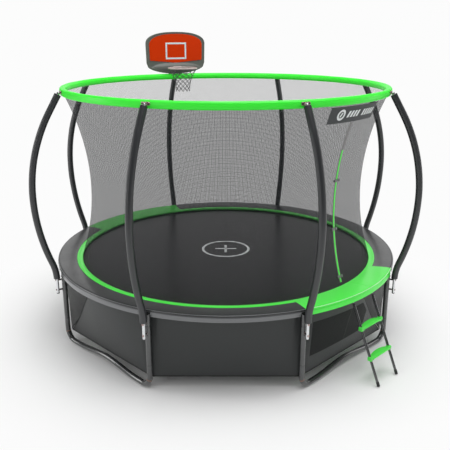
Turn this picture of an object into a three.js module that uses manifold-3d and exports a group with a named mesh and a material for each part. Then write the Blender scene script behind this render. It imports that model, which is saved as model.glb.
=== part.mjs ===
// Round garden trampoline, 3.66 m across the frame, with a bowed-pole safety
// enclosure, a ladder and a small basketball backboard.
// Millimetres, +Z up. The origin is on the floor, under the middle of the mat.
// Azimuths are degrees from the front (-Y), growing towards +X.

import * as THREE from 'three';
import { mergeVertices } from 'three/addons/utils/BufferGeometryUtils.js';
import Module from 'manifold-3d';

const wasm = await Module();
wasm.setup();

// ---------------------------------------------------------------- dimensions

const seatGap = 0.3;             // between faces that touch
const facetCount = 48;           // sides of every full ring, a flat on each pole
const legCount = 8;
const tubeSides = 8;

const frameRadius = 1831;        // centre line of the top rail
const frameHeight = 785;
const railDiameter = 42;
const railStepsPerQuarter = 24;

const legDiameter = 54;
const legSides = 10;
const socketLength = 130;        // welded socket from the rail's centre line, leg tube below
const socketOverlap = 6.3;       // the socket runs this far up into the rail
const baseTop = 260;             // leg tube above this, floor base below
const spigotLength = 55;
const spigotWall = 3;
const bendRadius = 115;
const floorContact = 70;         // straight run of a base on the floor
const baseRise = 45;             // lift of a base's middle

const poleDiameter = 30;
const poleStandoff = 30;         // between leg and pole
const poleFootDrop = 231;        // foot below the rail
const plugLength = 5;            // tapered plug under the foot
const plugDiameter = 18;
const poleKneeRise = 27;         // above the rail, where the upright foot bends outwards
const poleKneeReach = 83;        // bend's length above the knee
const poleBulge = 164;           // furthest bow past the foot
const poleBulgeHeight = 1605;
const poleUpperLean = 30;        // degrees from upright, above the upper arc
const foamDiameter = 66;
const foamDrop = 70;             // foam's lower end below the rail
const sleeveGap = 0.42;          // foam sleeve round its pole
const foamBelowHoop = 10;        // foam's top end, under the hoop's centre line
const poleArcSteps = 4;
const poleTopExtra = 20;         // bare tube past the foam's top end
const boltDrops = [195, 85];     // below the rail
const spacerDiameter = 17;
const boltHeadHeight = 5;
const clipWidth = 84;
const clipHeight = 30;
const clipThickness = 14;

const hoopInset = 145;           // hoop's centre line inside the rail's
const hoopHeight = 2607;
const hoopDiameter = 25;
const hoopSides = 6;
const coverWidth = 66;
const coverHeight = 75;
const coverSlit = 4;

const netPadGap = 5.8;           // between the net's foot and the pad's inner edge
const netMatGap = 3;             // the net's lower edge stops just above the mat
const netWaistHeight = 1605;
const netArcRadius = 2300;
const netStraight = 58;          // upright lowest part of the net
const netThickness = 2;
const netRows = 5;

const springRun = 185;           // from the rail to the mat's edge
const matRise = 2;               // mat's top above the rail's centre line
const matThickness = 3;
const springCount = 72;
const springDiameter = 14;
const springBandWidth = 16;

const padOverlap = 25;           // pad over the mat's edge
const padInnerRise = 24;         // above the mat
const padThickness = 21;
const padOuterRise = 44;         // above the rail's centre line
const padEdgeRound = 6;
const apronDrop = 22;
const apronThickness = 3;
const notchWidth = 90;
const notchLip = 2;              // apron left under the pad at a notch
const dentClearance = 1;         // pad dented round a ladder hook
const dentSideClearance = 4;

const skirtBottom = 120;
const skirtThickness = 3;
const skirtTipHeight = 12;       // free edge's lower end above the hem
const skirtEntryAzimuth = 21;    // free edge's top end, from the next pole
const sideSkirtInset = 1;        // degrees clear of a pole, on the side panels

const entranceAzimuth = 45;
const zipOffset = -8;            // along the net, from the entrance's middle
const zipWidth = 36;
const zipThickness = 2.4;
const zipBannerGap = 10;
const sliderRise = 83;           // above the mat
const sliderSize = [14, 8, 30];
const buckleRises = [111, 575, 1053];
const buckleHalfLength = 38;
const buckleWidth = 28;
const buckleThickness = 11;
const tongueLength = 10;
const tongueWidth = 12;
const tongueThickness = 5;
const tongueClearance = 0.5;

const bannerFrom = 32.8;
const bannerTo = 57.8;
const bannerHeight = 152;
const bannerDrop = 50;           // below the hoop's centre line
const bannerThickness = 2;

const ladderAzimuth = 45;
const ladderSpacing = 318;
const ladderTube = 26;
const ladderSpread = 354;        // foot outside the rail's centre line
const ladderTopDrop = 40;        // rails' ends below the frame's centre line
const ladderTopReach = 29;       // rail's top end, out from the frame tube
const hookClearance = 2.6;
const hookThickness = 3;
const hookWidth = 22;
const hookEndAngle = 140;
const hookFacet = 20;            // degrees a facet of the hook
const hookWeld = 12;             // hook's lap on the rail's end
const hookStraight = 4;          // level part under the hinge line
const stepHeights = [254, 520];
const stepDepth = 84;
const stepEndDepth = 42;
const stepThickness = 24;
const stepArch = 16;
const stepFullness = 0.6;        // leaf outline: lower is fuller towards the clamps
const stepTaperStart = 0.93;     // where the leaf leaves the clamp, as a share of the half span
const stepBevel = 0.7;
const stepFlank = 0.5;
const clampLength = 40;

const boardAzimuth = 202.5;
const boardHalfWidth = 393;
const boardSideRise = 160;       // heights from here on are above the hoop
const boardArchRise = 405;
const boardTopRise = 553;
const boardThickness = 30;
const boardRoundness = 2.4;      // exponent of the arched top
const boardBorder = 40;
const boardSideTuck = 0.98;      // sides draw in a little at their lower end
const boardLowerStops = [0, 0.3, 0.6, 0.85];
const boardArchSteps = 7;
const strapSpacing = 150;
const strapWidth = 30;
const strapThickness = 8;
const faceSideRise = 203;
const facePointRise = 174;
const faceThickness = 4;
const faceTopBorder = 25;
const bulgeDepth = 40;
const bulgeHalfWidth = 330;
const bulgeSides = 12;
const bulgeRows = 8;
const rimRadius = 177;
const rimTube = 16;
const rimReach = 256;            // rim's centre from the board's front
const rimPlateWidth = 110;
const rimPlateHeight = 46;
const rimPlateRise = 12;         // plate's top above the rim
const rimPlateThickness = 5;
const rimArmHeight = 10;
const rimRise = 118;
const rimSides = 22;
const rimTubeSides = 6;
const hoopNetDrop = 162;
const hoopNetAround = 10;
const hoopNetRows = 6;
const hoopNetCord = 4;
const hoopNetNarrow = 0.5;       // lower end's share of the rim's radius
const hoopNetTaper = 2.2;
const hoopNetOpen = 0.76;        // share of a diamond that is open

// ---------------------------------------------------------------- mesh tools

const radians = THREE.MathUtils.degToRad;
const legSpacing = 360 / legCount;
const fullTurn = 360;
const facetAngle = fullTurn / facetCount;
const facetAzimuths = Array.from({ length: facetCount }, (_, i) => (i + 0.5) * facetAngle);
const tiny = 1e-6;
const socketBottom = frameHeight - socketLength;
const matTop = frameHeight + matRise;
const netArcBottom = matTop + netStraight;
const sliderHeight = matTop + sliderRise;
const buckleHeights = buckleRises.map((rise) => matTop + rise);
const bannerTop = hoopHeight - bannerDrop;
const bannerBottom = bannerTop - bannerHeight;
const zipTop = bannerBottom - zipBannerGap;
const cutMargin = 5;             // cutting blocks pass this far beyond what they cut
const jointOverlap = 1;          // joined blocks share this depth
const sectionStep = 0.01;        // keeps two sections at one step apart
const dentSides = 16;

// Keeps one closed surface: shared corners merged, slivers dropped, faces out.
function clean(geometry) {
  const bare = new THREE.BufferGeometry();
  bare.setAttribute('position', geometry.getAttribute('position').clone());
  if (geometry.index) {
    bare.setIndex(geometry.index.clone());
  }
  const merged = mergeVertices(bare, 1e-3);
  const old = merged.index.array;
  const kept = [];
  for (let i = 0; i < old.length; i += 3) {
    const [a, b, c] = [old[i], old[i + 1], old[i + 2]];
    if (a !== b && b !== c && c !== a) {
      kept.push(a, b, c);
    }
  }
  if (signedVolume(merged.getAttribute('position'), kept) < 0) {
    for (let i = 0; i < kept.length; i += 3) {
      [kept[i], kept[i + 1]] = [kept[i + 1], kept[i]];
    }
  }
  merged.setIndex(kept);
  return merged;
}

function signedVolume(position, index) {
  const [a, b, c] = [new THREE.Vector3(), new THREE.Vector3(), new THREE.Vector3()];
  let volume = 0;
  for (let i = 0; i < index.length; i += 3) {
    a.fromBufferAttribute(position, index[i]);
    b.fromBufferAttribute(position, index[i + 1]);
    c.fromBufferAttribute(position, index[i + 2]);
    volume += a.dot(b.cross(c)) / 6;
  }
  return volume;
}

function toSolid(geometry) {
  const closed = clean(geometry);
  return new wasm.Manifold(new wasm.Mesh({
    numProp: 3,
    vertProperties: new Float32Array(closed.getAttribute('position').array),
    triVerts: new Uint32Array(closed.index.array),
  }));
}

function fromSolid(solid) {
  const mesh = solid.getMesh();
  const geometry = new THREE.BufferGeometry();
  geometry.setAttribute('position', new THREE.BufferAttribute(mesh.vertProperties.slice(), 3));
  geometry.setIndex(new THREE.BufferAttribute(mesh.triVerts.slice(), 1));
  return geometry;
}

function join(first, ...others) {
  return fromSolid(others.reduce((solid, next) => solid.add(toSolid(next)), toSolid(first)));
}

function cut(first, ...others) {
  return fromSolid(others.reduce((solid, next) => solid.subtract(toSolid(next)), toSolid(first)));
}

// Triangles that fill one flat section, in the section's own order.
function fillSection(section) {
  const normal = new THREE.Vector3();
  section.forEach((p, i) => normal.add(p.clone().cross(section[(i + 1) % section.length])));
  normal.normalize();
  const first = section[1].clone().sub(section[0]).normalize();
  const second = normal.clone().cross(first);
  const contour = section.map((p) => new THREE.Vector2(p.dot(first), p.dot(second)));
  return THREE.ShapeUtils.triangulateShape(contour, []).map(([a, b, c]) => {
    const area = THREE.ShapeUtils.area([contour[a], contour[b], contour[c]]);
    return area > 0 ? [a, b, c] : [a, c, b];
  });
}

// Skin over a row of sections with equal point counts, capped or ring-closed. In a thin wall
// the second half of each section turns its diagonals, so both faces crease along one line.
function loft(sections, closed = false, thin = false) {
  const count = sections[0].length;
  const index = [];
  const last = closed ? sections.length : sections.length - 1;
  for (let i = 0; i < last; i += 1) {
    const here = i * count;
    const next = ((i + 1) % sections.length) * count;
    for (let j = 0; j < count; j += 1) {
      const k = (j + 1) % count;
      if (thin && j >= count / 2) {
        index.push(here + j, here + k, next + j, here + k, next + k, next + j);
      } else {
        index.push(here + j, here + k, next + k, here + j, next + k, next + j);
      }
    }
  }
  if (!closed) {
    const end = (sections.length - 1) * count;
    fillSection(sections[0]).forEach(([a, b, c]) => index.push(a, c, b));
    fillSection(sections.at(-1)).forEach(([a, b, c]) => index.push(end + a, end + b, end + c));
  }
  const geometry = new THREE.BufferGeometry().setFromPoints(sections.flat());
  geometry.setIndex(index);
  return geometry;
}

// Polygon sections of a tube along a flat path, mitred at its bends so that every
// flat keeps its distance; across is the path's plane normal.
function tubeSections(points, radii, across, sides) {
  return points.map((point, i) => {
    const before = points[Math.max(i - 1, 0)];
    const after = points[Math.min(i + 1, points.length - 1)];
    const leaving = after.clone().sub(point).normalize();
    const arriving = i > 0 ? point.clone().sub(before).normalize() : leaving;
    const along = arriving.clone().add(leaving).normalize();
    const side = along.clone().cross(across).divideScalar(along.dot(arriving));
    const radius = Array.isArray(radii) ? radii[i] : radii;
    return Array.from({ length: sides }, (_, j) => {
      const turn = (2 * Math.PI * (j + 0.5)) / sides;
      return point.clone()
        .addScaledVector(side, radius * Math.cos(turn))
        .addScaledVector(across, radius * Math.sin(turn));
    });
  });
}

function tube(points, radii, across, sides = tubeSides) {
  return loft(tubeSections(points, radii, across, sides));
}

// Hollow tube, open at both ends: its wall's outline is carried round the path.
function sleeve(points, outer, inner, across, sides = tubeSides) {
  const outside = tubeSections(points, outer, across, sides);
  const inside = tubeSections(points, inner, across, sides);
  const strips = Array.from({ length: sides }, (_, j) => [
    ...outside.map((section) => section[j]),
    ...inside.map((section) => section[j]).reverse(),
  ]);
  return loft(strips, true);
}

// Radii of rings are measured to the flats; this is the corner's extra reach.
function ringFactor(azimuth) {
  const offset = azimuth - facetAngle * Math.round(azimuth / facetAngle);
  return 1 / Math.cos(radians(offset));
}

function ringPoint(azimuth, radius, height) {
  const reach = radius * ringFactor(azimuth);
  const turn = radians(azimuth);
  return new THREE.Vector3(reach * Math.sin(turn), -reach * Math.cos(turn), height);
}

// Both ends of an arc, and every ring corner between them.
function arcAzimuths(from, to) {
  const corners = [];
  const first = Math.ceil(from / facetAngle - 0.5 + tiny);
  for (let i = first; (i + 0.5) * facetAngle < to - tiny; i += 1) {
    corners.push((i + 0.5) * facetAngle);
  }
  return [from, ...corners.filter((azimuth) => azimuth > from + tiny), to];
}

function ring(profile) {
  return loft(facetAzimuths.map((azimuth) => profile.map(([r, z]) => ringPoint(azimuth, r, z))), true);
}

function ringArc(profile, from, to) {
  return loft(arcAzimuths(from, to).map((azimuth) => profile.map(([r, z]) => ringPoint(azimuth, r, z))));
}

// Point of a piece drawn at the front: out from the centre, up, and along +X.
function front(out, up, along = 0) {
  return new THREE.Vector3(along, -out, up);
}

function box(alongFrom, alongTo, outFrom, outTo, upFrom, upTo) {
  const geometry = new THREE.BoxGeometry(alongTo - alongFrom, outTo - outFrom, upTo - upFrom);
  geometry.translate((alongFrom + alongTo) / 2, -(outFrom + outTo) / 2, (upFrom + upTo) / 2);
  return geometry;
}

// Round bar that points out from the centre.
function outwardBar(diameter, outFrom, outTo, up, sides) {
  const geometry = new THREE.CylinderGeometry(diameter / 2, diameter / 2, outTo - outFrom, sides);
  geometry.translate(0, -(outFrom + outTo) / 2, up);
  return geometry;
}

// Turned piece about an upright axis, with a flat facing the front.
function turned(profile, sides) {
  const points = profile.map(([r, z]) => new THREE.Vector2(r, z));
  const geometry = new THREE.LatheGeometry(points, sides, -Math.PI / sides, 2 * Math.PI);
  geometry.rotateX(Math.PI / 2);
  return geometry;
}

// ----------------------------------------------------------------- materials

const finishes = {
  blackSteel: { color: 0x3a3c3e, roughness: 0.38, metalness: 0.6 },
  zincSteel: { color: 0xd8dadc, roughness: 0.25, metalness: 0.9 },
  greyFoam: { color: 0x55585a, roughness: 0.6, metalness: 0 },
  greenPvc: { color: 0x4fe84a, roughness: 0.35, metalness: 0 },
  greyPvc: { color: 0x55585b, roughness: 0.5, metalness: 0 },
  blackNet: { color: 0x7a7d80, roughness: 0.9, metalness: 0 },
  jumpMat: { color: 0x2c2d2e, roughness: 0.55, metalness: 0 },
  skirtFabric: { color: 0x46494a, roughness: 0.85, metalness: 0 },
  orangeBoard: { color: 0xc43300, roughness: 0.35, metalness: 0 },
  greyPlastic: { color: 0x5d605c, roughness: 0.5, metalness: 0 },
  whiteSteel: { color: 0xd9c9c6, roughness: 0.3, metalness: 0.3 },
  greenPlastic: { color: 0x4fe84a, roughness: 0.4, metalness: 0 },
};

const materials = Object.fromEntries(Object.entries(finishes).map(
  ([name, finish]) => [name, new THREE.MeshStandardMaterial({ name, ...finish })],
));

const trampoline = new THREE.Group();

function add(parent, name, geometry, material) {
  const mesh = new THREE.Mesh(clean(geometry), material);
  mesh.name = name;
  parent.add(mesh);
}

function station(azimuth) {
  const group = new THREE.Group();
  group.rotation.z = radians(azimuth);
  trampoline.add(group);
  return group;
}

const legAzimuths = Array.from({ length: legCount }, (_, i) => (i + 0.5) * legSpacing);
const across = new THREE.Vector3(1, 0, 0);
const upward = new THREE.Vector3(0, 0, 1);

// --------------------------------------------------------------------- frame

const legRadius = legDiameter / 2;
const spigotRadius = legRadius - spigotWall;
const boreRadius = (spigotRadius + seatGap) / Math.cos(Math.PI / legSides);
const railRadius = railDiameter / 2;
const legFlat = legRadius * Math.cos(Math.PI / legSides);
const railFlat = railRadius * Math.cos(Math.PI / tubeSides);

// Upright tube at a leg's place, turned so that a flat faces outwards.
function legTube(profile, azimuth) {
  const geometry = turned(profile, legSides);
  geometry.translate(0, -frameRadius, 0);
  geometry.rotateZ(radians(azimuth));
  return geometry;
}

// A quarter of the top rail with its two welded leg sockets.
function rail() {
  const half = 45 - THREE.MathUtils.radToDeg(seatGap / 2 / frameRadius);
  const section = Array.from({ length: tubeSides }, (_, j) => {
    const turn = (2 * Math.PI * (j + 0.5)) / tubeSides;
    return [railRadius * Math.cos(turn), railRadius * Math.sin(turn)];
  });
  const sections = Array.from({ length: railStepsPerQuarter + 1 }, (_, i) => {
    const azimuth = THREE.MathUtils.clamp((i / railStepsPerQuarter - 0.5) * 90, -half, half);
    return section.map(([out, up]) => front(frameRadius + out, frameHeight + up)
      .applyAxisAngle(upward, radians(azimuth)));
  });
  const socketTop = frameHeight - railRadius + socketOverlap;
  const socket = [[0, socketBottom], [legRadius, socketBottom], [legRadius, socketTop], [0, socketTop]];
  const boreTop = socketBottom + spigotLength + 2 * seatGap;
  const bore = [[0, socketBottom - 1], [boreRadius, socketBottom - 1], [boreRadius, boreTop], [0, boreTop]];
  const sides = [-legSpacing / 2, legSpacing / 2];
  const joined = join(loft(sections), ...sides.map((a) => legTube(socket, a)));
  return cut(joined, ...sides.map((a) => legTube(bore, a)));
}

function leg() {
  const boreTop = baseTop + spigotLength + 2 * seatGap;
  const shoulder = socketBottom - seatGap;
  return legTube([
    [0, boreTop], [boreRadius, boreTop], [boreRadius, baseTop], [legRadius, baseTop],
    [legRadius, shoulder], [spigotRadius, shoulder],
    [spigotRadius, socketBottom + spigotLength], [0, socketBottom + spigotLength],
  ], 0);
}

// Floor base that joins two legs: spigots, two bends and a raised middle.
function base() {
  const halfSpan = frameRadius * Math.sin(radians(legSpacing / 2));
  const chord = frameRadius * Math.cos(radians(legSpacing / 2));
  const low = legRadius * Math.cos(Math.PI / tubeSides);
  const shoulder = baseTop - seatGap;
  const side = [
    [halfSpan, baseTop + spigotLength, spigotRadius],
    [halfSpan, shoulder + sectionStep, spigotRadius],
    [halfSpan, shoulder, legRadius],
  ];
  for (let turn = 0; turn <= 90; turn += 30) {
    side.push([
      halfSpan - bendRadius * (1 - Math.cos(radians(turn))),
      low + bendRadius * (1 - Math.sin(radians(turn))),
      legRadius,
    ]);
  }
  const contactEnd = halfSpan - bendRadius - floorContact;
  for (let i = 0; i < 3; i += 1) {
    const rise = Math.sin((Math.PI / 2) * (i / 3)) ** 2;
    side.push([contactEnd * (1 - i / 3), low + baseRise * rise, legRadius]);
  }
  const middle = [0, low + baseRise, legRadius];
  const path = [...side, middle, ...side.map(([x, z, r]) => [-x, z, r]).reverse()];
  return tube(path.map(([x, z]) => front(chord, z, x)), path.map(([, , r]) => r), new THREE.Vector3(0, 1, 0));
}

for (let i = 0; i < 4; i += 1) {
  const quarter = station(45 + 90 * i);
  add(quarter, `rail_${i + 1}`, rail(), materials.blackSteel);
  add(quarter, `floor_base_${i + 1}`, base(), materials.blackSteel);
}

// --------------------------------------------------------------------- poles

const foamRadius = foamDiameter / 2;
const poleRadius = poleDiameter / 2;
const hoopRadius = frameRadius - hoopInset;
const hoopFront = hoopRadius + coverWidth / 2;
const poleFootRadius = frameRadius + legRadius + poleStandoff + poleRadius;
const poleBulgeRadius = poleFootRadius + poleBulge;
const poleFootBottom = frameHeight - poleFootDrop;
const foamBottom = frameHeight - foamDrop;
const boltHeights = boltDrops.map((drop) => frameHeight - drop);
const poleKneeHeight = frameHeight + poleKneeRise;
const poleLowerStart = poleKneeHeight + poleKneeReach;
const foamTop = hoopHeight - foamBelowHoop;

// Lower arc: upright at the bulge, and through the foot's line at the knee.
const poleLowerArc = (poleBulge ** 2 + (poleBulgeHeight - poleKneeHeight) ** 2) / (2 * poleBulge);

// Upper arc: upright at the bulge, ending at the lean that brings the foam's top to the hoop cover.
const lean = radians(poleUpperLean);
const foamTopRadius = hoopFront + foamRadius * Math.cos(lean) + sleeveGap;
const poleUpperArc = ((foamTop - poleBulgeHeight) * Math.sin(lean)
  - (poleBulgeRadius - foamTopRadius) * Math.cos(lean)) / (1 - Math.cos(lean));

// A pole's bowed centre line as out and up: foot, bend, lower arc, upper arc, lean.
function poleLine(bottom, extra) {
  const lowerCentre = poleBulgeRadius - poleLowerArc;
  const upperCentre = poleBulgeRadius - poleUpperArc;
  const lowerAngle = Math.asin((poleBulgeHeight - poleLowerStart) / poleLowerArc);
  const onLower = (turn) => [
    lowerCentre + poleLowerArc * Math.cos(turn),
    poleBulgeHeight - poleLowerArc * Math.sin(turn),
  ];
  const [startOut, startUp] = onLower(lowerAngle);
  const kneeUp = startUp - (startOut - poleFootRadius) / Math.tan(lowerAngle);
  const kneeMiddle = [
    (poleFootRadius * 3 + startOut) / 4,
    (foamBottom + 2 * kneeUp + startUp) / 4,
  ];
  const line = [[poleFootRadius, foamBottom], kneeMiddle, [startOut, startUp], onLower(lowerAngle / 2)];
  if (bottom < foamBottom) {
    line.unshift([poleFootRadius, bottom]);
  }
  for (let i = 0; i <= poleArcSteps; i += 1) {
    const turn = (lean * i) / poleArcSteps;
    line.push([
      upperCentre + poleUpperArc * Math.cos(turn),
      poleBulgeHeight + poleUpperArc * Math.sin(turn),
    ]);
  }
  const [leanOut, leanUp] = line.at(-1);
  const rise = foamTop - leanUp + extra * Math.cos(lean);
  line.push([leanOut - rise * Math.tan(lean), leanUp + rise]);
  return line;
}

function pole() {
  const line = poleLine(poleFootBottom, poleTopExtra);
  const foot = [poleFootRadius, poleFootBottom - plugLength];
  const points = [foot, ...line].map(([out, up]) => front(out, up));
  const radii = [plugDiameter / 2, ...line.map(() => poleRadius)];
  const spacerFrom = frameRadius + legFlat + seatGap;
  const boltTo = poleFootRadius + poleRadius + boltHeadHeight;
  const bolts = boltHeights.map((up) => outwardBar(spacerDiameter, spacerFrom, boltTo, up, 6));
  const [tipOut, tipUp] = line.at(-1);
  const clipFrom = hoopFront + seatGap;
  const clip = box(-clipWidth / 2, clipWidth / 2, clipFrom, Math.max(clipFrom + clipThickness, tipOut),
    tipUp - clipHeight / 2, tipUp + clipHeight / 2);
  return join(tube(points, radii, across), ...bolts, clip);
}

function foam() {
  const points = poleLine(foamBottom, 0).map(([out, up]) => front(out, up));
  return sleeve(points, foamRadius, poleRadius + sleeveGap, across);
}

legAzimuths.forEach((azimuth, i) => {
  const place = station(azimuth);
  add(place, `leg_${i + 1}`, leg(), materials.blackSteel);
  add(place, `pole_${i + 1}`, pole(), materials.zincSteel);
  add(place, `foam_sleeve_${i + 1}`, foam(), materials.greyFoam);
});

// ---------------------------------------------------------- hoop, net, banner

function regularSection(count, width, height, out, up, start, sweep) {
  return Array.from({ length: count }, (_, i) => {
    const turn = radians(start + (sweep * i) / (count - 1));
    return [out + (width / 2) * Math.cos(turn), up + (height / 2) * Math.sin(turn)];
  });
}

// Corner reach that gives a many-sided section its full width across flats.
const acrossFlats = (sides) => 1 / Math.cos(Math.PI / sides);

function hoopTube() {
  const section = regularSection(hoopSides + 1, hoopDiameter, hoopDiameter, hoopRadius, hoopHeight, 0, fullTurn);
  return ring(section.slice(0, hoopSides));
}

// Padded cover round the hoop, closed by a seam that is left open by a slit.
function hoopCover() {
  const outerSeam = -2.5 * (fullTurn / tubeSides);
  const innerSeam = -2 * (fullTurn / hoopSides);
  const reach = acrossFlats(tubeSides);
  const outer = regularSection(tubeSides + 1, coverWidth * reach, coverHeight * reach,
    hoopRadius, hoopHeight, outerSeam, fullTurn);
  const bore = hoopDiameter + 2 * seatGap * acrossFlats(hoopSides);
  const inner = regularSection(hoopSides + 1, bore, bore, hoopRadius, hoopHeight, innerSeam, -fullTurn);
  outer[0] = towards(outer[0], outer[1]);
  inner[hoopSides] = towards(inner[hoopSides], inner[hoopSides - 1]);
  return ring([...outer, ...inner]);
}

function towards([out, up], [nextOut, nextUp]) {
  const share = coverSlit / Math.hypot(nextOut - out, nextUp - up);
  return [out + (nextOut - out) * share, up + (nextUp - up) * share];
}

add(trampoline, 'hoop_tube', hoopTube(), materials.zincSteel);
add(trampoline, 'hoop_cover', hoopCover(), materials.greenPvc);

const matRadius = frameRadius - railRadius - springRun;
const padInnerRadius = matRadius - padOverlap;
const netFlare = netArcRadius - Math.sqrt(netArcRadius ** 2 - (netWaistHeight - netArcBottom) ** 2);
const netWaistRadius = padInnerRadius - netPadGap - netThickness - netFlare;
const netArcCentre = netWaistRadius + netArcRadius;
const netTop = hoopHeight - coverHeight / 2 - seatGap;

// Net's inner radius at a height, along its arc, and straight down below it.
function netInner(up) {
  const drop = Math.max(up, netArcBottom) - netWaistHeight;
  return netArcCentre - Math.sqrt(netArcRadius ** 2 - drop ** 2);
}

const netHeights = [matTop + netMatGap];
for (let i = 0; i <= netRows; i += 1) {
  const low = Math.asin((netArcBottom - netWaistHeight) / netArcRadius);
  const high = Math.asin((netTop - netWaistHeight) / netArcRadius);
  netHeights.push(netWaistHeight + netArcRadius * Math.sin(low + ((high - low) * i) / netRows));
}
netHeights.splice(2, 0, sliderHeight);

function enclosureNet() {
  const inside = netHeights.map((up) => [netInner(up), up]);
  const outside = netHeights.map((up) => [netInner(up) + netThickness, up]);
  return ring([...inside, ...outside.reverse()]);
}

// Outer radius of the net's flat rows at any height.
function netOuter(up) {
  const i = Math.max(1, netHeights.findIndex((height) => height >= up));
  const [low, high] = [netHeights[i - 1], netHeights[i]];
  return THREE.MathUtils.mapLinear(up, low, high, netInner(low), netInner(high)) + netThickness;
}

function heightsBetween(from, to) {
  return [from, ...netHeights.filter((up) => up > from + 1 && up < to - 1), to];
}

add(trampoline, 'enclosure_net', enclosureNet(), materials.blackNet);

function banner() {
  const heights = heightsBetween(bannerBottom, bannerTop);
  const inside = heights.map((up) => [netOuter(up) + seatGap, up]);
  const outside = heights.map((up) => [netOuter(up) + seatGap + bannerThickness, up]);
  return ringArc([...inside, ...outside.reverse()], bannerFrom, bannerTo);
}

add(trampoline, 'banner', banner(), materials.skirtFabric);

// -------------------------------------------------------------- entrance zip

// Moves a piece drawn on a flat sheet (x along, y out, z up) onto the net.
function onNet(geometry, up) {
  const step = 5;
  const lean = Math.atan2(netOuter(up + step) - netOuter(up - step), 2 * step);
  geometry.rotateX(lean);
  geometry.translate(zipOffset, -(netOuter(up) + seatGap), up);
  return geometry;
}

const halfFrom = seatGap / 2;
const socketBack = -(buckleHalfLength + halfFrom);

// Zip tape with the fixed halves of its three buckles.
function zipTape() {
  const heights = heightsBetween(netArcBottom, zipTop);
  const tape = loft(heights.map((up) => {
    const inner = netOuter(up) + seatGap;
    return [[-1, inner], [1, inner], [1, inner + zipThickness], [-1, inner + zipThickness]]
      .map(([side, out]) => front(out, up, zipOffset + (side * zipWidth) / 2));
  }));
  const pocket = tongueClearance;
  const socket = [socketBack, -halfFrom, zipThickness / 2, zipThickness + buckleThickness];
  const shells = buckleHeights.map((up) => onNet(box(...socket, -buckleWidth / 2, buckleWidth / 2), up));
  const hollow = [-halfFrom - tongueLength - pocket, cutMargin, tongueOut - pocket,
    tongueOut + tongueThickness + pocket, -tongueWidth / 2 - pocket, tongueWidth / 2 + pocket];
  const pockets = buckleHeights.map((up) => onNet(box(...hollow), up));
  return cut(join(tape, ...shells), ...pockets);
}

const tongueOut = zipThickness + (buckleThickness - tongueThickness) / 2;

// Loose half of a buckle, with the tongue that enters the fixed half.
function buckle(up) {
  const bodyTop = zipThickness + buckleThickness;
  const body = box(halfFrom, buckleHalfLength + halfFrom, zipThickness + seatGap, bodyTop,
    -buckleWidth / 2, buckleWidth / 2);
  const tongueEnd = -halfFrom - tongueLength + seatGap;
  const tongue = box(tongueEnd, halfFrom + jointOverlap, tongueOut, tongueOut + tongueThickness,
    -tongueWidth / 2, tongueWidth / 2);
  return onNet(join(body, tongue), up);
}

// Slider inside the net, set by a turn about the centre of the net's arc.
function zipSlider() {
  const [width, thickness, height] = sliderSize;
  const backOut = netWaistRadius - seatGap;
  const geometry = box(-width / 2, width / 2, backOut - thickness, backOut, -height / 2, height / 2);
  geometry.translate(zipOffset, netArcCentre, 0);
  geometry.rotateX(Math.asin((sliderHeight - netWaistHeight) / netArcRadius));
  geometry.translate(0, -netArcCentre, netWaistHeight);
  return geometry;
}

const entrance = station(entranceAzimuth);
add(entrance, 'zip_tape', zipTape(), materials.greenPvc);
add(entrance, 'zip_slider', zipSlider(), materials.blackSteel);
buckleHeights.forEach((up, i) => add(entrance, `buckle_${i + 1}`, buckle(up), materials.greyPlastic));

// ----------------------------------------------------------- mat and springs

function jumpMat() {
  const heights = [matTop - matThickness, matTop];
  return loft(heights.map((up) => facetAzimuths.map((a) => ringPoint(a, matRadius, up))));
}

// Band of rings at the mat's edge with its springs, out to the top rail.
function springs() {
  const bandOuter = matRadius + seatGap + springBandWidth;
  const railIn = (frameRadius - railFlat) * Math.cos(radians(90 / railStepsPerQuarter / 2));
  const springEnd = railIn - seatGap;
  const low = frameHeight - springDiameter / 2;
  const high = frameHeight - seatGap;
  const pitch = 360 / springCount;
  const corners = Array.from({ length: springCount }, (_, i) => {
    const turn = radians((i + 0.5) * pitch);
    const along = new THREE.Vector2(Math.cos(turn), Math.sin(turn));
    const side = new THREE.Vector2(-along.y, along.x);
    return [[bandOuter, -1], [springEnd, -1], [springEnd, 1], [bandOuter, 1]].map(([out, sign]) => (
      along.clone().multiplyScalar(out).addScaledVector(side, (sign * springDiameter) / 2)
    ));
  });
  const outline = new THREE.Shape(corners.flat());
  const edge = facetAzimuths.map((azimuth) => ringPoint(azimuth, matRadius + seatGap, 0));
  outline.holes.push(new THREE.Path(edge.map((p) => new THREE.Vector2(p.x, p.y))));
  const geometry = new THREE.ExtrudeGeometry(outline, { depth: high - low, bevelEnabled: false });
  geometry.translate(0, 0, low);
  return geometry;
}

add(trampoline, 'mat', jumpMat(), materials.jumpMat);
add(trampoline, 'springs', springs(), materials.zincSteel);

// -------------------------------------------------------------------- ladder

const ladderFootRadius = frameRadius + ladderSpread;
const ladderTopHeight = frameHeight - ladderTopDrop;
const hookInner = railRadius + hookClearance;
const hookOuter = hookInner + hookThickness;
const hookHalfSpan = ladderSpacing / 2;
const hingeRadius = Math.sqrt(frameRadius ** 2 - hookHalfSpan ** 2);

// Slanted rail with level ends; grow widens it to cut its seat in a step.
function ladderRail(side, grow = 0) {
  const lean = Math.atan2(ladderFootRadius - hingeRadius - ladderTopReach, ladderTopHeight);
  const level = (out, up, along) => Array.from({ length: tubeSides }, (_, j) => {
    const turn = (2 * Math.PI * (j + 0.5)) / tubeSides;
    const radius = ladderTube / 2 + grow;
    return front(out + (radius / Math.cos(lean)) * Math.cos(turn), up, along + radius * Math.sin(turn));
  });
  return loft([
    level(ladderFootRadius, 0, side * hookHalfSpan),
    level(hingeRadius + ladderTopReach, ladderTopHeight, side * hookHalfSpan),
  ]);
}

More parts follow.
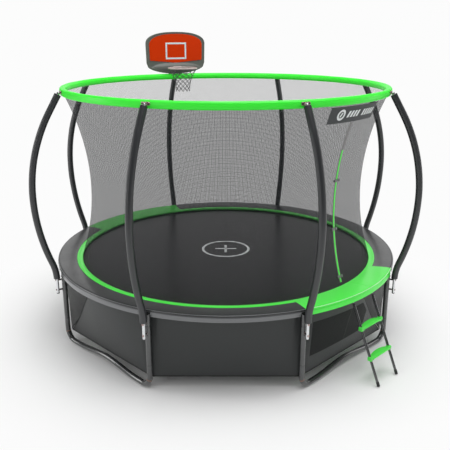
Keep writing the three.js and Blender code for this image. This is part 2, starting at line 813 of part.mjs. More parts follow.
// Flat steel hook from the rail's end, over the frame tube.
function ladderHook(side) {
  const middle = (hookInner + hookOuter) / 2;
  const line = [[middle, ladderTopHeight - hookWeld - frameHeight], [middle, -hookStraight]];
  for (let turn = 0; turn <= hookEndAngle; turn += hookFacet) {
    line.push([middle * Math.cos(radians(turn)), middle * Math.sin(radians(turn))]);
  }
  const sections = line.map(([out, up], i) => {
    const [beforeOut, beforeUp] = line[Math.max(i - 1, 0)];
    const [afterOut, afterUp] = line[Math.min(i + 1, line.length - 1)];
    const normal = new THREE.Vector2(afterUp - beforeUp, beforeOut - afterOut).normalize();
    return [[-1, -1], [1, -1], [1, 1], [-1, 1]].map(([face, edge]) => front(
      hingeRadius + out + (face * normal.x * hookThickness) / 2,
      frameHeight + up + (face * normal.y * hookThickness) / 2,
      side * hookHalfSpan + (edge * hookWidth) / 2,
    ));
  });
  return loft(sections);
}

// Arched leaf-shaped step with a clamp block round each rail.
function ladderStep(up) {
  const share = up / ladderTopHeight;
  const out = THREE.MathUtils.lerp(ladderFootRadius, hingeRadius + ladderTopReach, share);
  const clampInner = hookHalfSpan - clampLength / 2;
  const clampOuter = hookHalfSpan + clampLength / 2;
  const stops = [-clampOuter, -clampInner, -clampInner * stepTaperStart, -clampInner / 2];
  const places = [...stops, 0, ...stops.map((x) => -x).reverse()];
  const sections = places.map((x) => {
    const bow = Math.max(0, 1 - (x / clampInner) ** 2);
    const clamp = Math.abs(x) >= clampInner - tiny;
    const halfDepth = (stepEndDepth + (stepDepth - stepEndDepth) * bow ** stepFullness) / 2;
    const halfRise = (clamp ? stepEndDepth : stepThickness) / 2;
    const lift = stepArch * bow;
    const half = [[-1, -stepFlank], [-stepBevel, -1], [stepBevel, -1], [1, -stepFlank]];
    const section = [...half, ...half.map(([a, b]) => [-a, -b])];
    return section.map(([a, b]) => front(out + a * halfDepth, up + lift + b * halfRise, x));
  });
  return cut(loft(sections), ladderRail(-1, seatGap), ladderRail(1, seatGap));
}

const ladder = station(ladderAzimuth);
[['left', -1], ['right', 1]].forEach(([name, side]) => {
  add(ladder, `ladder_rail_${name}`, join(ladderRail(side), ladderHook(side)), materials.blackSteel);
});
[['lower', 0], ['upper', 1]].forEach(([name, i]) => {
  add(ladder, `ladder_step_${name}`, ladderStep(stepHeights[i]), materials.greenPlastic);
});

// ---------------------------------------------------------------- frame pads

const hookReach = Math.hypot(hingeRadius + hookOuter, hookHalfSpan + hookWidth / 2);
const apronInner = hookReach + seatGap;
const padOuter = apronInner + apronThickness;
const padInnerTop = matTop + padInnerRise;
const padOuterTop = frameHeight + padOuterRise;
const apronBottom = frameHeight - apronDrop;
const padBottom = frameHeight + railFlat + seatGap;

function padTopProfile() {
  return [
    [padInnerRadius, padInnerTop - padThickness],
    [padInnerRadius, padInnerTop],
    [padOuter - padEdgeRound, padOuterTop],
    [padOuter, padOuterTop - padEdgeRound],
  ];
}

// Hanging edges are open where a pole's bolts reach the leg.
function notches(azimuths) {
  return azimuths.map((azimuth) => {
    const block = box(-notchWidth / 2, notchWidth / 2, apronInner - cutMargin, padOuter + cutMargin,
      apronBottom - cutMargin, padBottom - notchLip);
    block.rotateZ(radians(azimuth));
    return block;
  });
}

function framePad(from, to) {
  const half = THREE.MathUtils.radToDeg(seatGap / 2 / padOuter);
  const profile = [
    ...padTopProfile(),
    [padOuter, apronBottom], [apronInner, apronBottom], [apronInner, padBottom],
    [frameRadius - railRadius, padBottom],
  ];
  const inside = [...legAzimuths, ...legAzimuths.map((azimuth) => azimuth + fullTurn)]
    .filter((azimuth) => azimuth > from - tiny && azimuth < to + tiny);
  return cut(ringArc(profile, from + half, to - half), ...notches(inside));
}

// Entrance sector: its hanging edge is a separate sewn flap that the ladder lifts.
function entrancePad(from, to) {
  const half = THREE.MathUtils.radToDeg(seatGap / 2 / padOuter);
  const profile = [...padTopProfile(), [padOuter, padBottom], [frameRadius - railRadius, padBottom]];
  const dents = [-1, 1].map((side) => {
    const radius = hookOuter + dentClearance;
    const dent = new THREE.CylinderGeometry(radius, radius, hookWidth + 2 * dentSideClearance, dentSides);
    dent.rotateZ(Math.PI / 2);
    dent.translate(side * hookHalfSpan, -hingeRadius, frameHeight);
    dent.rotateZ(radians(ladderAzimuth));
    return dent;
  });
  return cut(ringArc(profile, from + half, to - half), ...dents);
}

function entranceFlap(from, to) {
  const half = THREE.MathUtils.radToDeg(notchWidth / 2 / padOuter);
  const top = padBottom - seatGap;
  return ringArc([
    [apronInner, apronBottom], [padOuter, apronBottom], [padOuter, top], [apronInner, top],
  ], from + half, to - half);
}

const [entranceFrom, entranceTo] = [legAzimuths[0], legAzimuths[1]];
const [backFrom, backTo] = [legAzimuths[4], legAzimuths[5]];
add(trampoline, 'pad_grey_right', framePad(entranceTo, backFrom), materials.greyPvc);
add(trampoline, 'pad_green_back', framePad(backFrom, backTo), materials.greenPvc);
add(trampoline, 'pad_grey_left', framePad(backTo, entranceFrom + fullTurn), materials.greyPvc);
add(trampoline, 'pad_green_entrance', entrancePad(entranceFrom, entranceTo), materials.greenPvc);
add(trampoline, 'entrance_flap', entranceFlap(entranceFrom, entranceTo), materials.greenPvc);

// --------------------------------------------------------------------- skirt

const skirtAtLeg = frameRadius - legRadius - 2 * seatGap;
const skirtTop = frameHeight - railFlat - 2 * seatGap;
const skirtUnderRail = frameRadius - railRadius * Math.sin(Math.PI / tubeSides) - 2 * seatGap;

// Skirt's outer radius: under the rail at the top, a straight-sided octagon below.
function skirtReach(azimuth, up) {
  const fromPole = azimuth - legSpacing * Math.floor(azimuth / legSpacing) - legSpacing / 2;
  const nearest = Math.abs(fromPole);
  const top = nearest < 2 * sideSkirtInset ? skirtAtLeg : skirtUnderRail;
  const fromMiddle = legSpacing / 2 - nearest;
  const bottom = (skirtAtLeg * Math.cos(radians(legSpacing / 2))) / Math.cos(radians(fromMiddle));
  return THREE.MathUtils.mapLinear(up, skirtBottom, skirtTop, bottom, top);
}

function skirt(azimuths, topAt) {
  return loft(azimuths.map((azimuth) => {
    const top = topAt(azimuth);
    const turn = radians(azimuth);
    const section = [[0, skirtBottom], [0, top], [skirtThickness, top], [skirtThickness, skirtBottom]];
    return section.map(([inset, up]) => {
      const reach = skirtReach(azimuth, up) - inset;
      return new THREE.Vector3(reach * Math.sin(turn), -reach * Math.cos(turn), up);
    });
  }), false, true);
}

// Three panels; the outer two are cut on a slant, which leaves a crawl opening.
function mainSkirt() {
  const pole = legSpacing * 1.5;
  const slantFrom = pole - skirtEntryAzimuth;
  const slantTo = pole - sideSkirtInset;
  const leg = legSpacing / 2;
  const stops = [0, leg - sideSkirtInset, leg, leg + sideSkirtInset, slantFrom, slantTo];
  const half = [0, ...stops.slice(1).flatMap((stop, i) => arcAzimuths(stops[i], stop).slice(1))];
  const azimuths = [...half.slice(1).map((a) => -a).reverse(), ...half];
  const tip = skirtBottom + skirtTipHeight;
  return skirt(azimuths, (azimuth) => {
    const past = Math.max(0, Math.abs(azimuth) - slantFrom);
    return THREE.MathUtils.mapLinear(past, 0, slantTo - slantFrom, skirtTop, tip);
  });
}

function sideSkirt() {
  const half = legSpacing / 2 - sideSkirtInset;
  return skirt(arcAzimuths(-half, half), () => skirtTop);
}

const skirtPanels = [
  ['front', 0, mainSkirt], ['right', 90, sideSkirt], ['back', 180, mainSkirt], ['left', 270, sideSkirt],
];
skirtPanels.forEach(([name, azimuth, make]) => {
  add(station(azimuth), `skirt_${name}`, make(), materials.skirtFabric);
});

// ------------------------------------------------------------ backboard, rim

const boardFront = hoopRadius - boardThickness / 2;
const boardBottom = hoopHeight + coverHeight / 2 + seatGap;
const boardSideBottom = hoopHeight + boardSideRise;
const boardSideTop = hoopHeight + boardArchRise;
const boardTop = hoopHeight + boardTopRise;
const faceSideBottom = hoopHeight + faceSideRise;
const facePoint = hoopHeight + facePointRise;
const rimHeight = hoopHeight + rimRise;

// Arched outline: straight sides, superellipse top, and a lower edge of its own.
function archedOutline(halfWidth, sideBottom, sideTop, top, lowerEdge) {
  const arch = Array.from({ length: boardArchSteps + 1 }, (_, i) => {
    const turn = (Math.PI / 2) * (i / boardArchSteps);
    return new THREE.Vector2(
      halfWidth * Math.cos(turn) ** (2 / boardRoundness),
      sideTop + (top - sideTop) * Math.sin(turn) ** (2 / boardRoundness),
    );
  });
  const right = [...lowerEdge, new THREE.Vector2(halfWidth * boardSideTuck, sideBottom), ...arch];
  const left = right.slice(1, -1).map((p) => new THREE.Vector2(-p.x, p.y)).reverse();
  return new THREE.Shape([...right, ...left]);
}

// Upright sheet in the plane of the board, between two distances from the centre.
function boardSheet(shape, outFrom, outTo) {
  const geometry = new THREE.ExtrudeGeometry(shape, { depth: outTo - outFrom, bevelEnabled: false });
  geometry.rotateX(Math.PI / 2);
  geometry.translate(0, -outFrom, 0);
  return geometry;
}

function boardFrame() {
  const lower = boardLowerStops.map((share) => new THREE.Vector2(
    boardHalfWidth * share,
    boardSideBottom - (boardSideBottom - boardBottom) * Math.sqrt(1 - share ** 2),
  ));
  const plate = boardSheet(archedOutline(boardHalfWidth, boardSideBottom, boardSideTop, boardTop, lower),
    boardFront, boardFront + boardThickness);
  const bulge = new THREE.SphereGeometry(1, bulgeSides, bulgeRows);
  const halfHeight = (facePoint - boardBottom - jointOverlap) / 2;
  bulge.rotateX(Math.PI / 2);
  bulge.scale(bulgeHalfWidth, bulgeDepth, halfHeight);
  bulge.translate(0, -boardFront, boardBottom + halfHeight);
  const middleOut = boardFront + boardThickness / 2;
  const behind = box(-boardHalfWidth, boardHalfWidth, middleOut, middleOut + bulgeDepth + cutMargin,
    boardBottom - cutMargin, facePoint);
  const inner = boardFront + boardThickness - jointOverlap;
  const backOut = hoopFront + seatGap;
  const straps = [-1, 1].flatMap((side) => {
    const [from, to] = [side * strapSpacing - strapWidth, side * strapSpacing + strapWidth].map((x) => x / 2);
    return [
      box(from, to, inner, backOut + strapThickness, boardSideBottom - strapWidth, boardSideBottom),
      box(from, to, backOut, backOut + strapThickness, hoopHeight, boardSideBottom),
    ];
  });
  return join(plate, cut(bulge, behind), ...straps);
}

function boardFace() {
  const lower = [new THREE.Vector2(0, facePoint)];
  const shape = archedOutline(boardHalfWidth - boardBorder, faceSideBottom, boardSideTop - boardBorder / 2,
    boardTop - faceTopBorder, lower);
  return boardSheet(shape, boardFront - seatGap - faceThickness, boardFront - seatGap);
}

const rimOut = boardFront - rimReach;

// Rim ring with its fork and the plate that screws to the board.
function rim() {
  const torus = new THREE.TorusGeometry(rimRadius, rimTube / 2, rimTubeSides, rimSides);
  torus.translate(0, -rimOut, rimHeight);
  const plateOut = boardFront - bulgeDepth - seatGap;
  const half = rimPlateWidth / 2;
  const plateTop = rimHeight + rimPlateRise;
  const plateIn = plateOut - rimPlateThickness;
  const plate = box(-half, half, plateIn, plateOut, plateTop - rimPlateHeight, plateTop);
  const arm = box(-half, half, rimOut + rimRadius, plateIn + jointOverlap,
    rimHeight - rimArmHeight / 2, rimHeight + rimArmHeight / 2);
  return join(torus, plate, arm);
}

// Tapered net of diamond gaps: each gap is a ring of four strips round a hole.
function rimNet() {
  const top = rimHeight - (rimTube / 2) * Math.cos(Math.PI / rimTubeSides) - seatGap;
  const rowHeight = (top - hoopHeight + hoopNetDrop) / hoopNetRows;
  const radiusAt = (row) => {
    const drop = row / hoopNetRows;
    return rimRadius * (hoopNetNarrow + (1 - hoopNetNarrow) * (1 - drop) ** hoopNetTaper);
  };
  const place = (column, row, depth) => {
    const turn = (2 * Math.PI * column) / hoopNetAround;
    const radius = radiusAt(row) - depth;
    const out = rimOut + radius * Math.cos(turn);
    return new THREE.Vector3(radius * Math.sin(turn), -out, top - rowHeight * row);
  };
  const triangles = [];
  const quad = (a, b, c, d) => triangles.push(a, b, c, a, c, d);
  for (let row = 1; row < hoopNetRows; row += 1) {
    for (let k = 0; k < hoopNetAround; k += 1) {
      const centre = k + (row % 2 ? 0 : 0.5);
      const corners = [[0, -1], [0.5, 0], [0, 1], [-0.5, 0]];
      corners.forEach(([du, dv], i) => {
        const [eu, ev] = corners[(i + 1) % 4];
        const at = (u, v, scale, depth) => place(centre + u * scale, row + v * scale, depth);
        const [a, b] = [at(du, dv, 1, 0), at(eu, ev, 1, 0)];
        const [c, d] = [at(eu, ev, hoopNetOpen, 0), at(du, dv, hoopNetOpen, 0)];
        const [e, f] = [at(du, dv, 1, hoopNetCord), at(eu, ev, 1, hoopNetCord)];
        const [g, h] = [at(eu, ev, hoopNetOpen, hoopNetCord), at(du, dv, hoopNetOpen, hoopNetCord)];
        quad(a, b, c, d);
        quad(e, h, g, f);
        quad(d, c, g, h);
        if ((row === 1 && dv + ev < 0) || (row === hoopNetRows - 1 && dv + ev > 0)) {
          quad(b, a, e, f);
        }
      });
    }
  }
  return new THREE.BufferGeometry().setFromPoints(triangles);
}

const backboard = station(boardAzimuth);
add(backboard, 'board_frame', boardFrame(), materials.greyPlastic);
add(backboard, 'board_face', boardFace(), materials.orangeBoard);
add(backboard, 'rim', rim(), materials.whiteSteel);
add(backboard, 'rim_net', rimNet(), materials.blackNet);

export default trampoline;
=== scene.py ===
import math

import bpy
import numpy as np
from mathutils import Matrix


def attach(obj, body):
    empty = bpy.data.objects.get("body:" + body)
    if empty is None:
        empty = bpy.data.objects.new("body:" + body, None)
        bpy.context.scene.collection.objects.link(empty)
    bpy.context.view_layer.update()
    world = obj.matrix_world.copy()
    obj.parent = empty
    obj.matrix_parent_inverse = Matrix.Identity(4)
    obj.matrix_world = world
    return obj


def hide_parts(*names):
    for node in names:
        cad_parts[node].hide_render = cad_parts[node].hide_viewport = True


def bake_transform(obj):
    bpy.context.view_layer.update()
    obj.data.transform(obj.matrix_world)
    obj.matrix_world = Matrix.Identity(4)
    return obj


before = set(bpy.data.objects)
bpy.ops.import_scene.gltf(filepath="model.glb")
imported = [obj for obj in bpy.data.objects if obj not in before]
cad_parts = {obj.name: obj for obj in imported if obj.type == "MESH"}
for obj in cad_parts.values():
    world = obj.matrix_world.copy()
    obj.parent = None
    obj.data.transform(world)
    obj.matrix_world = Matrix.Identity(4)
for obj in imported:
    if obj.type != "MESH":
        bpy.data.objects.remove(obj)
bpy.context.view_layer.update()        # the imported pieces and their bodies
print("frame loaded with", len(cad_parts), "nodes")

# Round garden trampoline with a bowed-pole enclosure, a ladder and a small backboard.
# Metres, +Z up, origin on the floor under the middle of the mat.
# Azimuths are degrees from the front (-Y), growing towards +X; "out" is the distance from the axis.

legAzimuths = [22.5 + 45 * i for i in range(8)]
sizes = {
    "seat": 0.0003,            # gap between faces that touch
    "frameOut": 1.831,         # centre line of the top rail
    "frameUp": 0.785,
    "railRadius": 0.021,
    "legRadius": 0.027,
    "poleRadius": 0.015,
    "foamRadius": 0.033,
    "hoopOut": 1.686,
    "hoopUp": 2.607,
    "coverWidth": 0.066,
    "coverHeight": 0.075,
    "matOut": 1.625,
    "matUp": 0.787,
}


def turned(out, azimuth, up):    # x = out sin a, y = -out cos a
    a = np.radians(azimuth)
    out, a, up = np.broadcast_arrays(out, a, up)
    return np.stack([out * np.sin(a), -out * np.cos(a), up], axis=-1)


def atAzimuth(points, azimuth):    # what is drawn at the front is turned about the upright axis
    c, s = math.cos(math.radians(azimuth)), math.sin(math.radians(azimuth))
    return points @ np.array([[c, s, 0], [-s, c, 0], [0, 0, 1]])


def unit(vectors):
    return vectors / np.maximum(np.linalg.norm(vectors, axis=-1, keepdims=True), 1e-12)


def ripple(points, seed, size, count=6):    # mean of a few sine waves across space, each its own way
    draw = np.random.default_rng(seed)
    direction = unit(draw.normal(size=(count, 3))).T
    wave = size * draw.uniform(0.7, 1.5, count)
    return np.sin(points @ direction * (2 * np.pi / wave) + draw.uniform(0, 2 * np.pi, count)).mean(-1)


def smoothStep(x, low, high):    # 0 below low, 1 above high, 3t^2 - 2t^3 between
    t = np.clip((x - low) / (high - low), 0, 1)
    return t * t * (3 - 2 * t)


def signedPower(wave, power):    # a wave to a power, with its sign: squares a round section off
    return np.sign(wave) * np.abs(wave) ** power


def circle(count):    # equal angles once round, without the last
    return np.linspace(0, 2 * np.pi, count, endpoint=False)


# A grid of points (u, v) becomes quads. Each corner keeps the length walked along u and along v as its UV,
# in metres.
def gridSurface(points, closeU=False, closeV=False, capU=False, capV=False, finish=0, solid=True):
    nu, nv = points.shape[:2]
    i, j = (g.ravel() for g in np.meshgrid(
        np.arange(nu if closeU else nu - 1), np.arange(nv if closeV else nv - 1), indexing="ij"))
    ni, nj = (i + 1) % nu, (j + 1) % nv
    quads = np.stack([i * nv + j, ni * nv + j, ni * nv + nj, i * nv + nj], 1)
    walkU = np.linalg.norm(np.roll(points, -1, 0) - points, axis=2).mean(1)
    walkV = np.linalg.norm(np.roll(points, -1, 1) - points, axis=2).mean(0)
    alongU, alongV = (np.concatenate([[0], np.cumsum(w)]) for w in (walkU, walkV))
    corners = ((i, j), (i + 1, j), (i + 1, j + 1), (i, j + 1))
    uv = np.stack([np.stack([alongU[a], alongV[b]], -1) for a, b in corners], 1)
    caps = []
    if capU:
        caps += [np.arange(nv)[::-1], (nu - 1) * nv + np.arange(nv)]
    if capV:
        caps += [np.arange(nu) * nv, (np.arange(nu) * nv + nv - 1)[::-1]]
    shape = {"points": points.reshape(-1, 3), "quads": quads, "uv": uv, "caps": caps, "finish": finish}
    return outward(shape) if solid else shape


def outward(shape):    # turns every face round where the volume they close comes out negative
    p = shape["points"] - shape["points"].mean(0)
    a, b, c, d = (p[shape["quads"][:, k]] for k in range(4))
    volume = (np.cross(a, b) * c).sum() + (np.cross(a, c) * d).sum()
    for cap in shape["caps"]:
        ring = p[cap]
        volume += (np.cross(ring[1:-1], ring[2:]) * ring[0]).sum()
    return flipped(shape) if volume < 0 else shape


def flipped(shape):
    return {**shape, "quads": shape["quads"][:, ::-1], "uv": shape["uv"][:, ::-1],
            "caps": [cap[::-1] for cap in shape["caps"]]}


# One object from several shapes, with the body it rides on, its material slot and the nodes it stands for.
def makePiece(name, shapes, finishes, body="frame", stands=(), sharp=38):
    counts = np.cumsum([0] + [len(s["points"]) for s in shapes])
    faces, uv, finish = [], [], []
    for s, first in zip(shapes, counts):
        faces += (s["quads"] + first).tolist() + [(cap + first).tolist() for cap in s["caps"]]
        uv += [s["uv"].reshape(-1, 2), np.zeros((sum(len(cap) for cap in s["caps"]), 2))]
        finish += np.broadcast_to(s["finish"], len(s["quads"])).tolist()
        finish += [int(np.min(s["finish"]))] * len(s["caps"])
    mesh = bpy.data.meshes.new(name)
    mesh.from_pydata(np.concatenate([s["points"] for s in shapes]).tolist(), [], faces)
    layer = mesh.uv_layers.new(name="walked")
    layer.data.foreach_set("uv", np.concatenate(uv).astype(np.float32).ravel())
    for made in finishes:
        mesh.materials.append(made)
    mesh.polygons.foreach_set("material_index", np.array(finish, np.int32))
    mesh.shade_smooth()
    mesh.set_sharp_from_angle(angle=math.radians(sharp))
    piece = bpy.data.objects.new(name, mesh)
    bpy.context.scene.collection.objects.link(piece)
    if body:
        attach(piece, body)
    if stands:
        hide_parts(*stands)
    return piece


def vertexPlaces(piece):
    place = np.zeros(len(piece.data.vertices) * 3, np.float32)
    piece.data.vertices.foreach_get("co", place)
    return place.reshape(-1, 3)


def tubeGrid(path, radius, sides, across, turn=0.5):    # rings round a path: tangent x across, and across
    tangent = unit(np.gradient(path, axis=0))
    side = unit(np.cross(tangent, across))
    other = np.cross(side, tangent)
    a = (np.arange(sides) + turn)[:, None] * (2 * np.pi / sides)
    ring = side[:, None] * np.cos(a) + other[:, None] * np.sin(a)
    return path[:, None] + ring * np.broadcast_to(radius, len(path))[:, None, None]


def roundEnds(path, radius, rounding, steps=3):    # each end gets a quarter-circle edge
    radius = np.array(np.broadcast_to(radius, len(path)), float)
    a = np.linspace(0, np.pi / 2, steps + 1)[1:, None]
    first, last = unit(path[0] - path[1]), unit(path[-1] - path[-2])
    middle = path.copy()
    middle[0] -= first * rounding
    middle[-1] -= last * rounding
    head, tail = middle[0] + first * rounding * np.sin(a), middle[-1] + last * rounding * np.sin(a)
    shrink = rounding * (1 - np.cos(a[:, 0]))
    return (np.concatenate([head[::-1], middle, tail]),
            np.concatenate([(radius[0] - shrink)[::-1], radius, radius[-1] - shrink]))


def bar(path, radius, across, sides=24, rounding=0.0015, finish=0, turn=0.5):
    path, radius = roundEnds(np.array(path, float), radius, rounding)
    rings = tubeGrid(path, radius, sides, np.array(across, float), turn)
    return gridSurface(rings, closeV=True, capU=True, finish=finish)


def outwardBar(along, outFrom, outTo, up, radius, sides=20, rounding=0.001, finish=0, turn=0.5):
    return bar([[along, -outFrom, up], [along, -outTo, up]], radius, (0, 0, 1), sides, rounding, finish, turn)


# Thin shell behind a grid: the same grid moved back along its normals, closed at all four edges.
def shell(points, thickness, finish=0, back=None):
    normal = unit(np.cross(np.gradient(points, axis=0), np.gradient(points, axis=1)))
    behind = points - normal * thickness if back is None else points + np.array(back) * thickness
    loop = np.concatenate([points, behind[:, ::-1]], axis=1)
    return gridSurface(loop, closeV=True, capU=True, finish=finish)


def cornerCut(points, times=2):    # every corner of a closed outline is cut at a quarter and three quarters
    for _ in range(times):
        following = np.roll(points, -1, axis=-2)
        points = np.stack([0.75 * points + 0.25 * following, 0.25 * points + 0.75 * following], axis=-2)
        points = points.reshape(*points.shape[:-3], -1, points.shape[-1])
    return points


def roundedBox(width, height, corner, steps=5):    # outline of a rectangle with quarter-circle corners
    a = np.linspace(0, np.pi / 2, steps)
    arc = np.stack([np.cos(a), np.sin(a)], 1) * corner
    quarter = [arc + [width / 2 - corner, height / 2 - corner]]
    for sx, sy, step in ((-1, 1, -1), (-1, -1, 1), (1, -1, -1)):
        quarter.append(((arc + [width / 2 - corner, height / 2 - corner]) * [sx, sy])[::step])
    return np.concatenate(quarter)


def inset(outline, amount):    # moves a closed counter-clockwise outline inwards along its normals
    along = unit(np.roll(outline, -1, 0) - np.roll(outline, 1, 0))
    return outline - np.stack([along[:, 1], -along[:, 0]], 1) * amount


# Flat piece with rounded edges: an outline (along, up) carried from one distance out to another.
def slab(outline, outFrom, outTo, rounding, centre=(0, 0), finish=0, steps=3):
    a = np.linspace(0, np.pi / 2, steps + 1)
    depth = np.concatenate([outFrom + rounding * (1 - np.sin(a))[::-1], outTo - rounding * (1 - np.sin(a))])
    shrink = np.concatenate([rounding * (1 - np.cos(a))[::-1], rounding * (1 - np.cos(a))])
    rows = [np.column_stack([ring[:, 0] + centre[0], np.full(len(ring), -d), ring[:, 1] + centre[1]])
            for d, ring in ((d, inset(outline, s)) for d, s in zip(depth, shrink))]
    return gridSurface(np.array(rows), closeV=True, capU=True, finish=finish)


def leaning(shape, move):    # the same shape with its points changed by a function
    return {**shape, "points": move(shape["points"])}


def linear(code):    # sRGB hex to linear light
    levels = [int(code[i:i + 2], 16) / 255 for i in (1, 3, 5)]
    return tuple(c / 12.92 if c <= 0.04045 else ((c + 0.055) / 1.055) ** 2.4 for c in levels) + (1.0,)


def addNode(tree, kind, sockets=None, **settings):    # sockets hold values, or the outputs they are joined to
    node = tree.nodes.new("ShaderNode" + kind)
    for key, value in settings.items():
        setattr(node, key, value)
    for key, value in (sockets or {}).items():
        if isinstance(value, bpy.types.NodeSocket):
            tree.links.new(value, node.inputs[key])
        else:
            node.inputs[key].default_value = value
    return node


# One build for all finishes: two near tones in soft patches, a grain that also moves the gloss, and threads
# if woven. A wave's scale of 0.314 is one band to a metre, so it is divided by the spacing of the threads.
waveScale = 0.314


def makeFinish(name, look):
    material = bpy.data.materials.new(name)
    material.use_nodes = True
    tree = material.node_tree
    shader = tree.nodes["Principled BSDF"]
    for socket, value in look.get("shader", {}).items():
        shader.inputs[socket].default_value = value
    place = addNode(tree, "TexCoord").outputs["UV" if look.get("followsPiece") else "Object"]
    patches, grain = (addNode(tree, "TexNoise", {"Vector": place, "Scale": 1 / look[size], "Detail": detail})
                      .outputs[0] for size, detail in (("patch", 3.0), ("grain", 2.0)))
    deep, pale = (linear(tone) for tone in look["tones"])
    colour = addNode(tree, "Mix", {0: patches, 6: deep, 7: pale}, data_type="RGBA").outputs[2]
    smooth, rough = look["roughness"]
    gloss = addNode(tree, "MapRange", {0: grain, 3: smooth, 4: rough}).outputs[0]
    tree.links.new(gloss, shader.inputs["Roughness"])
    height = addNode(tree, "Math", {0: grain, 1: look["grainDepth"]}, operation="MULTIPLY").outputs[0]
    if "weave" in look:
        warp, weft = (addNode(tree, "TexWave", {"Vector": place, "Scale": waveScale / look["weave"]},
                              wave_type="BANDS", bands_direction=way).outputs[1] for way in "XY")
        crossing = addNode(tree, "Math", {0: warp, 1: weft}, operation="MAXIMUM").outputs[0]
        raised = {0: crossing, 1: look["weaveDepth"], 2: height}
        height = addNode(tree, "Math", raised, operation="MULTIPLY_ADD").outputs[0]
        shade = addNode(tree, "MapRange", {0: crossing, 3: 1 - look["weaveShade"], 4: 1.0}).outputs[0]
        shaded = {0: 1.0, 6: colour, 7: shade}
        colour = addNode(tree, "Mix", shaded, data_type="RGBA", blend_type="MULTIPLY").outputs[2]
    tree.links.new(colour, shader.inputs["Base Color"])
    bump = addNode(tree, "Bump", {"Strength": 1.0, "Distance": 1.0, "Height": height})
    tree.links.new(bump.outputs[0], shader.inputs["Normal"])
    return material


